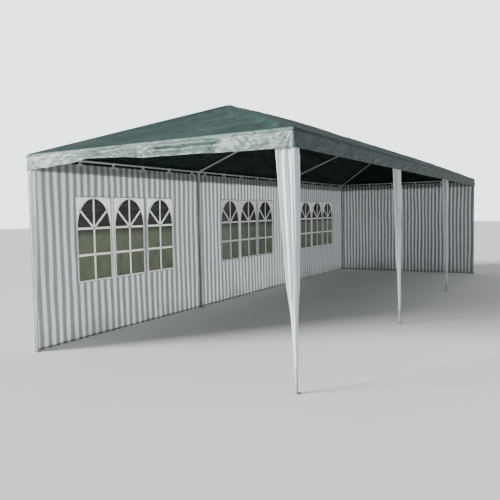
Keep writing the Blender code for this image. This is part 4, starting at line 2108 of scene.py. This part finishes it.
@dataclass
class LegCover:
    """A white post cover: a curtain that hangs in folds at the top and is gathered on the post below."""

    layout: Layout
    name: str
    x: float
    y: float
    cloth: bpy.types.Material
    columns: int = 120
    rows: int = 50
    thick: float = 0.0012
    tight: float = 0.0150
    growth: tuple[Pair, ...] = (
        (0.0, 0.10), (0.016, 0.0), (0.04, 0.0), (0.12, 0.06), (0.25, 0.18),
        (0.38, 0.42), (0.55, 0.56), (0.78, 0.78), (1.0, 1.0),
    )
    band_z: float = 0.030
    wall_gap: float = 0.0150
    valance_gap: float = 0.0164
    open_gap: float = 0.0215

    def __post_init__(self) -> None:
        """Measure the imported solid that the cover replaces."""
        self.low, self.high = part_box(f"leg_cover_{self.name}")

    def reaches(self) -> tuple[float, float, float, float]:
        """Return how far the top reaches towards +X, +Y, -X and -Y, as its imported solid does."""
        low, high = self.low, self.high
        return high.x - self.x, high.y - self.y, self.x - low.x, self.y - low.y

    def ring(self, share: float, height: float) -> list[Vector]:
        """Trace one level of the cover's folds.

        Args:
            share: how far up the cover it is.
            height: its height above the ground.

        Returns:
            The points of the level, anticlockwise.
        """
        spread_now = through(self.growth, share, eased=False)
        whole = self.reaches()
        reach = [self.tight + spread_now * (item - self.tight) for item in whole]
        points = []
        place = 0.0
        before = None
        for step in range(self.columns):
            angle = math.tau * step / self.columns
            across, along = math.cos(angle), math.sin(angle)
            wide = reach[0] if across >= 0 else reach[2]
            long = reach[1] if along >= 0 else reach[3]
            top = Vector((across * whole[0 if across >= 0 else 2], along * whole[1 if along >= 0 else 3]))
            place += (top - before).length if before is not None else 0.0
            before = top
            base = Vector((wide * across, long * along, 0.0))
            facing = Vector((across / max(wide, 1e-4), along / max(long, 1e-4), 0.0)).normalized()
            drift = 0.9 * noise.noise(Vector((place * 9.0, height * 0.6, self.x + self.y)))
            fold = 1.2 * math.sin(math.tau * place / 0.066 + drift * 2.6)
            fold += 0.55 * math.sin(math.tau * place / 0.026 + drift * 4.0 + height * 0.7)
            fold += 0.5 * noise.noise(Vector((place * 60.0, height * 3.0, self.x * 3.0 + self.y)))
            size = 0.0012 + 0.0125 * smooth_step(0.0, 0.75, spread_now)
            point = base + facing * (fold * size - size * 0.6)
            points.append(self.keep_clear(point, height))
        return [Vector((self.x + p.x, self.y + p.y, height)) for p in points]

    def keep_clear(self, point: Vector, height: float) -> Vector:
        """Keep a point outside the tube, and inside the walls and the valance.

        Args:
            point: the point, from the middle of the post.
            height: its height above the ground.

        Returns:
            The point, moved if it has to be.
        """
        least = self.layout.tube_r + 0.0012
        if height > self.layout.eave_z - SLEEVE_LENGTH - 0.01:
            least = self.layout.sleeve_r + 0.0004
        if point.length < least:
            point = point.normalized() * least
        behind_valance = height > self.layout.valance_bottom - 0.04
        free = self.valance_gap if behind_valance else self.open_gap
        out_x, out_y = math.copysign(1, self.x), math.copysign(1, self.y)
        limit_x = self.wall_gap if self.x < 0 else free
        if point.x * out_x > limit_x:
            point.x = limit_x * out_x
        if abs(self.y) > self.layout.ridge_half + 0.01 and point.y * out_y > free:
            point.y = free * out_y
        return point

    def band(self, height: float) -> bpy.types.Object:
        """Make the tape that ties the gathered cover to its post.

        Args:
            height: the middle of the tape above the ground.

        Returns:
            The tape with its knot.
        """
        bpy.ops.mesh.primitive_cylinder_add(
            vertices=32, radius=self.tight + 0.0016, depth=0.012, end_fill_type="NOTHING",
            location=(self.x, self.y, height),
        )
        tape = settle(bpy.context.active_object, "band")
        edit_faces(tape, lambda centre, normal: True, lambda: bpy.ops.mesh.subdivide(number_cuts=2))
        for vert in tape.data.vertices:
            centre = Vector((self.x, self.y, vert.co.z))
            vert.co += (vert.co - centre).normalized() * 0.0008 * noise.noise(vert.co * 140.0)
        thicken(tape, 0.0010)
        knot = make_knot(Vector((self.x, self.y - self.tight - 0.003, height)), 0.006, 0.0020, 210.0)
        for item in (tape, knot):
            dress(item, self.cloth)
            smooth(item, 60.0)
        return join([tape, knot], f"cover_tie_{self.name}")

    def build(self) -> None:
        """Make the cover and its tie and tie them to the frame."""
        bottom, top = self.low.z, self.high.z
        rows, flat = [], []
        around = sum(self.reaches()) * 0.9
        for share in spread(0.0, 1.0, 1.0 / self.rows):
            height = bottom + (top - bottom) * share
            rows.append(self.ring(share, height))
            flat.append([(around * step / self.columns, height) for step in range(self.columns + 1)])
        cover = Cloth(f"post_cover_{self.name}", rows, flat, closed=True).make()
        dress(cover, self.cloth)
        thicken(cover, self.thick, offset=-1.0)
        hand_over(cover, [f"leg_cover_{self.name}"])
        band = hand_over(self.band(bottom + self.band_z))


def main() -> None:
    """Build the sub-assemblies in order."""
    layout = Layout.from_frame()
    Studio().build()
    TubeFrame(layout, TubePaint().make(), PlatedSteel().make()).build()
    green = CoverSheet(Face.OUTSIDE).make()
    # The underside's near-black green is partly the tarp's own darker back and partly painted shade under the
    # roof
    below = CoverSheet(
        Face.UNDERSIDE, (0.0022, 0.0105, 0.0078), (0.0034, 0.0140, 0.0105), rough_low=0.55, rough_high=0.7,
        shine=0.1, painted_sheen_share=0.0, painted_glare=(0.02, 0.06, 0.045),
    ).make()
    edge = CoverSheet(Face.VALANCE, shine=0.7).make()
    RoofCover(layout, green, edge, below).build()
    # Painted light: the front bay's surrounds are a lit copy, whiter and passing more light; the other bays
    # take a darker shaded copy that passes less
    white = WhiteCloth("window_white", colour=(0.90, 0.91, 0.90), passes=0.60).make()
    tape = WhiteCloth("tape_white", passes=0.15, crease=0.0004).make()
    tie = TapeTie(layout, tape).make()
    painted_light = WhiteCloth("window_white_dense", colour=(0.86, 0.88, 0.86), passes=0.36).make()
    film = ClearFilm().make()
    striped = WallCloth("long_wall_cloth", pitch=0.107).make()
    # Painted shade: the back bay takes a shaded copy of the cloth that passes less light and so looks darker
    shaded = WallCloth("long_wall_cloth_dense", pitch=0.107, passes=0.36).make()
    for index, bay in enumerate(("front", "middle", "back")):
        node = f"wall_left_{bay}"
        low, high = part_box(node)
        cloth = shaded if bay == "back" else striped
        windows = WindowSet(layout, white if bay == "front" else painted_light, film)
        StripedWall(
            layout, f"striped_{node}", node, low.y, high.y, cloth, tie, 3.0 + 11.0 * index,
            windows=windows, film_node=f"window_film_{bay}",
        ).build()
    low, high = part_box("wall_back")
    # Partly painted light: the end wall's paler white and larger pass share brighten it past the long walls'
    # cloth; its narrower stripes are its own print
    narrow = WallCloth(
        "end_wall_cloth", pitch=0.077, light=(0.88, 0.90, 0.91), dark=(0.42, 0.45, 0.45), passes=0.62
    ).make()
    StripedWall(
        layout, "striped_wall_back", "wall_back", low.x, high.x, narrow, tie, 47.0, at_end=True
    ).build()
    bpy.data.objects.remove(tie, do_unlink=True)
    curtain = WhiteCloth(
        "post_cover_white", colour=(0.86, 0.905, 0.94), passes=0.14, soil_height=0.42
    ).make()
    for name, x, y in layout.posts():
        at_wall = y > layout.half_length - 0.01 or (x < 0 and y > 0.01 - layout.half_length)
        if not at_wall:
            LegCover(layout, name, x, y, curtain).build()


if __name__ == "__main__":
    logging.basicConfig(level=logging.INFO, format="%(name)s %(message)s")
    main()
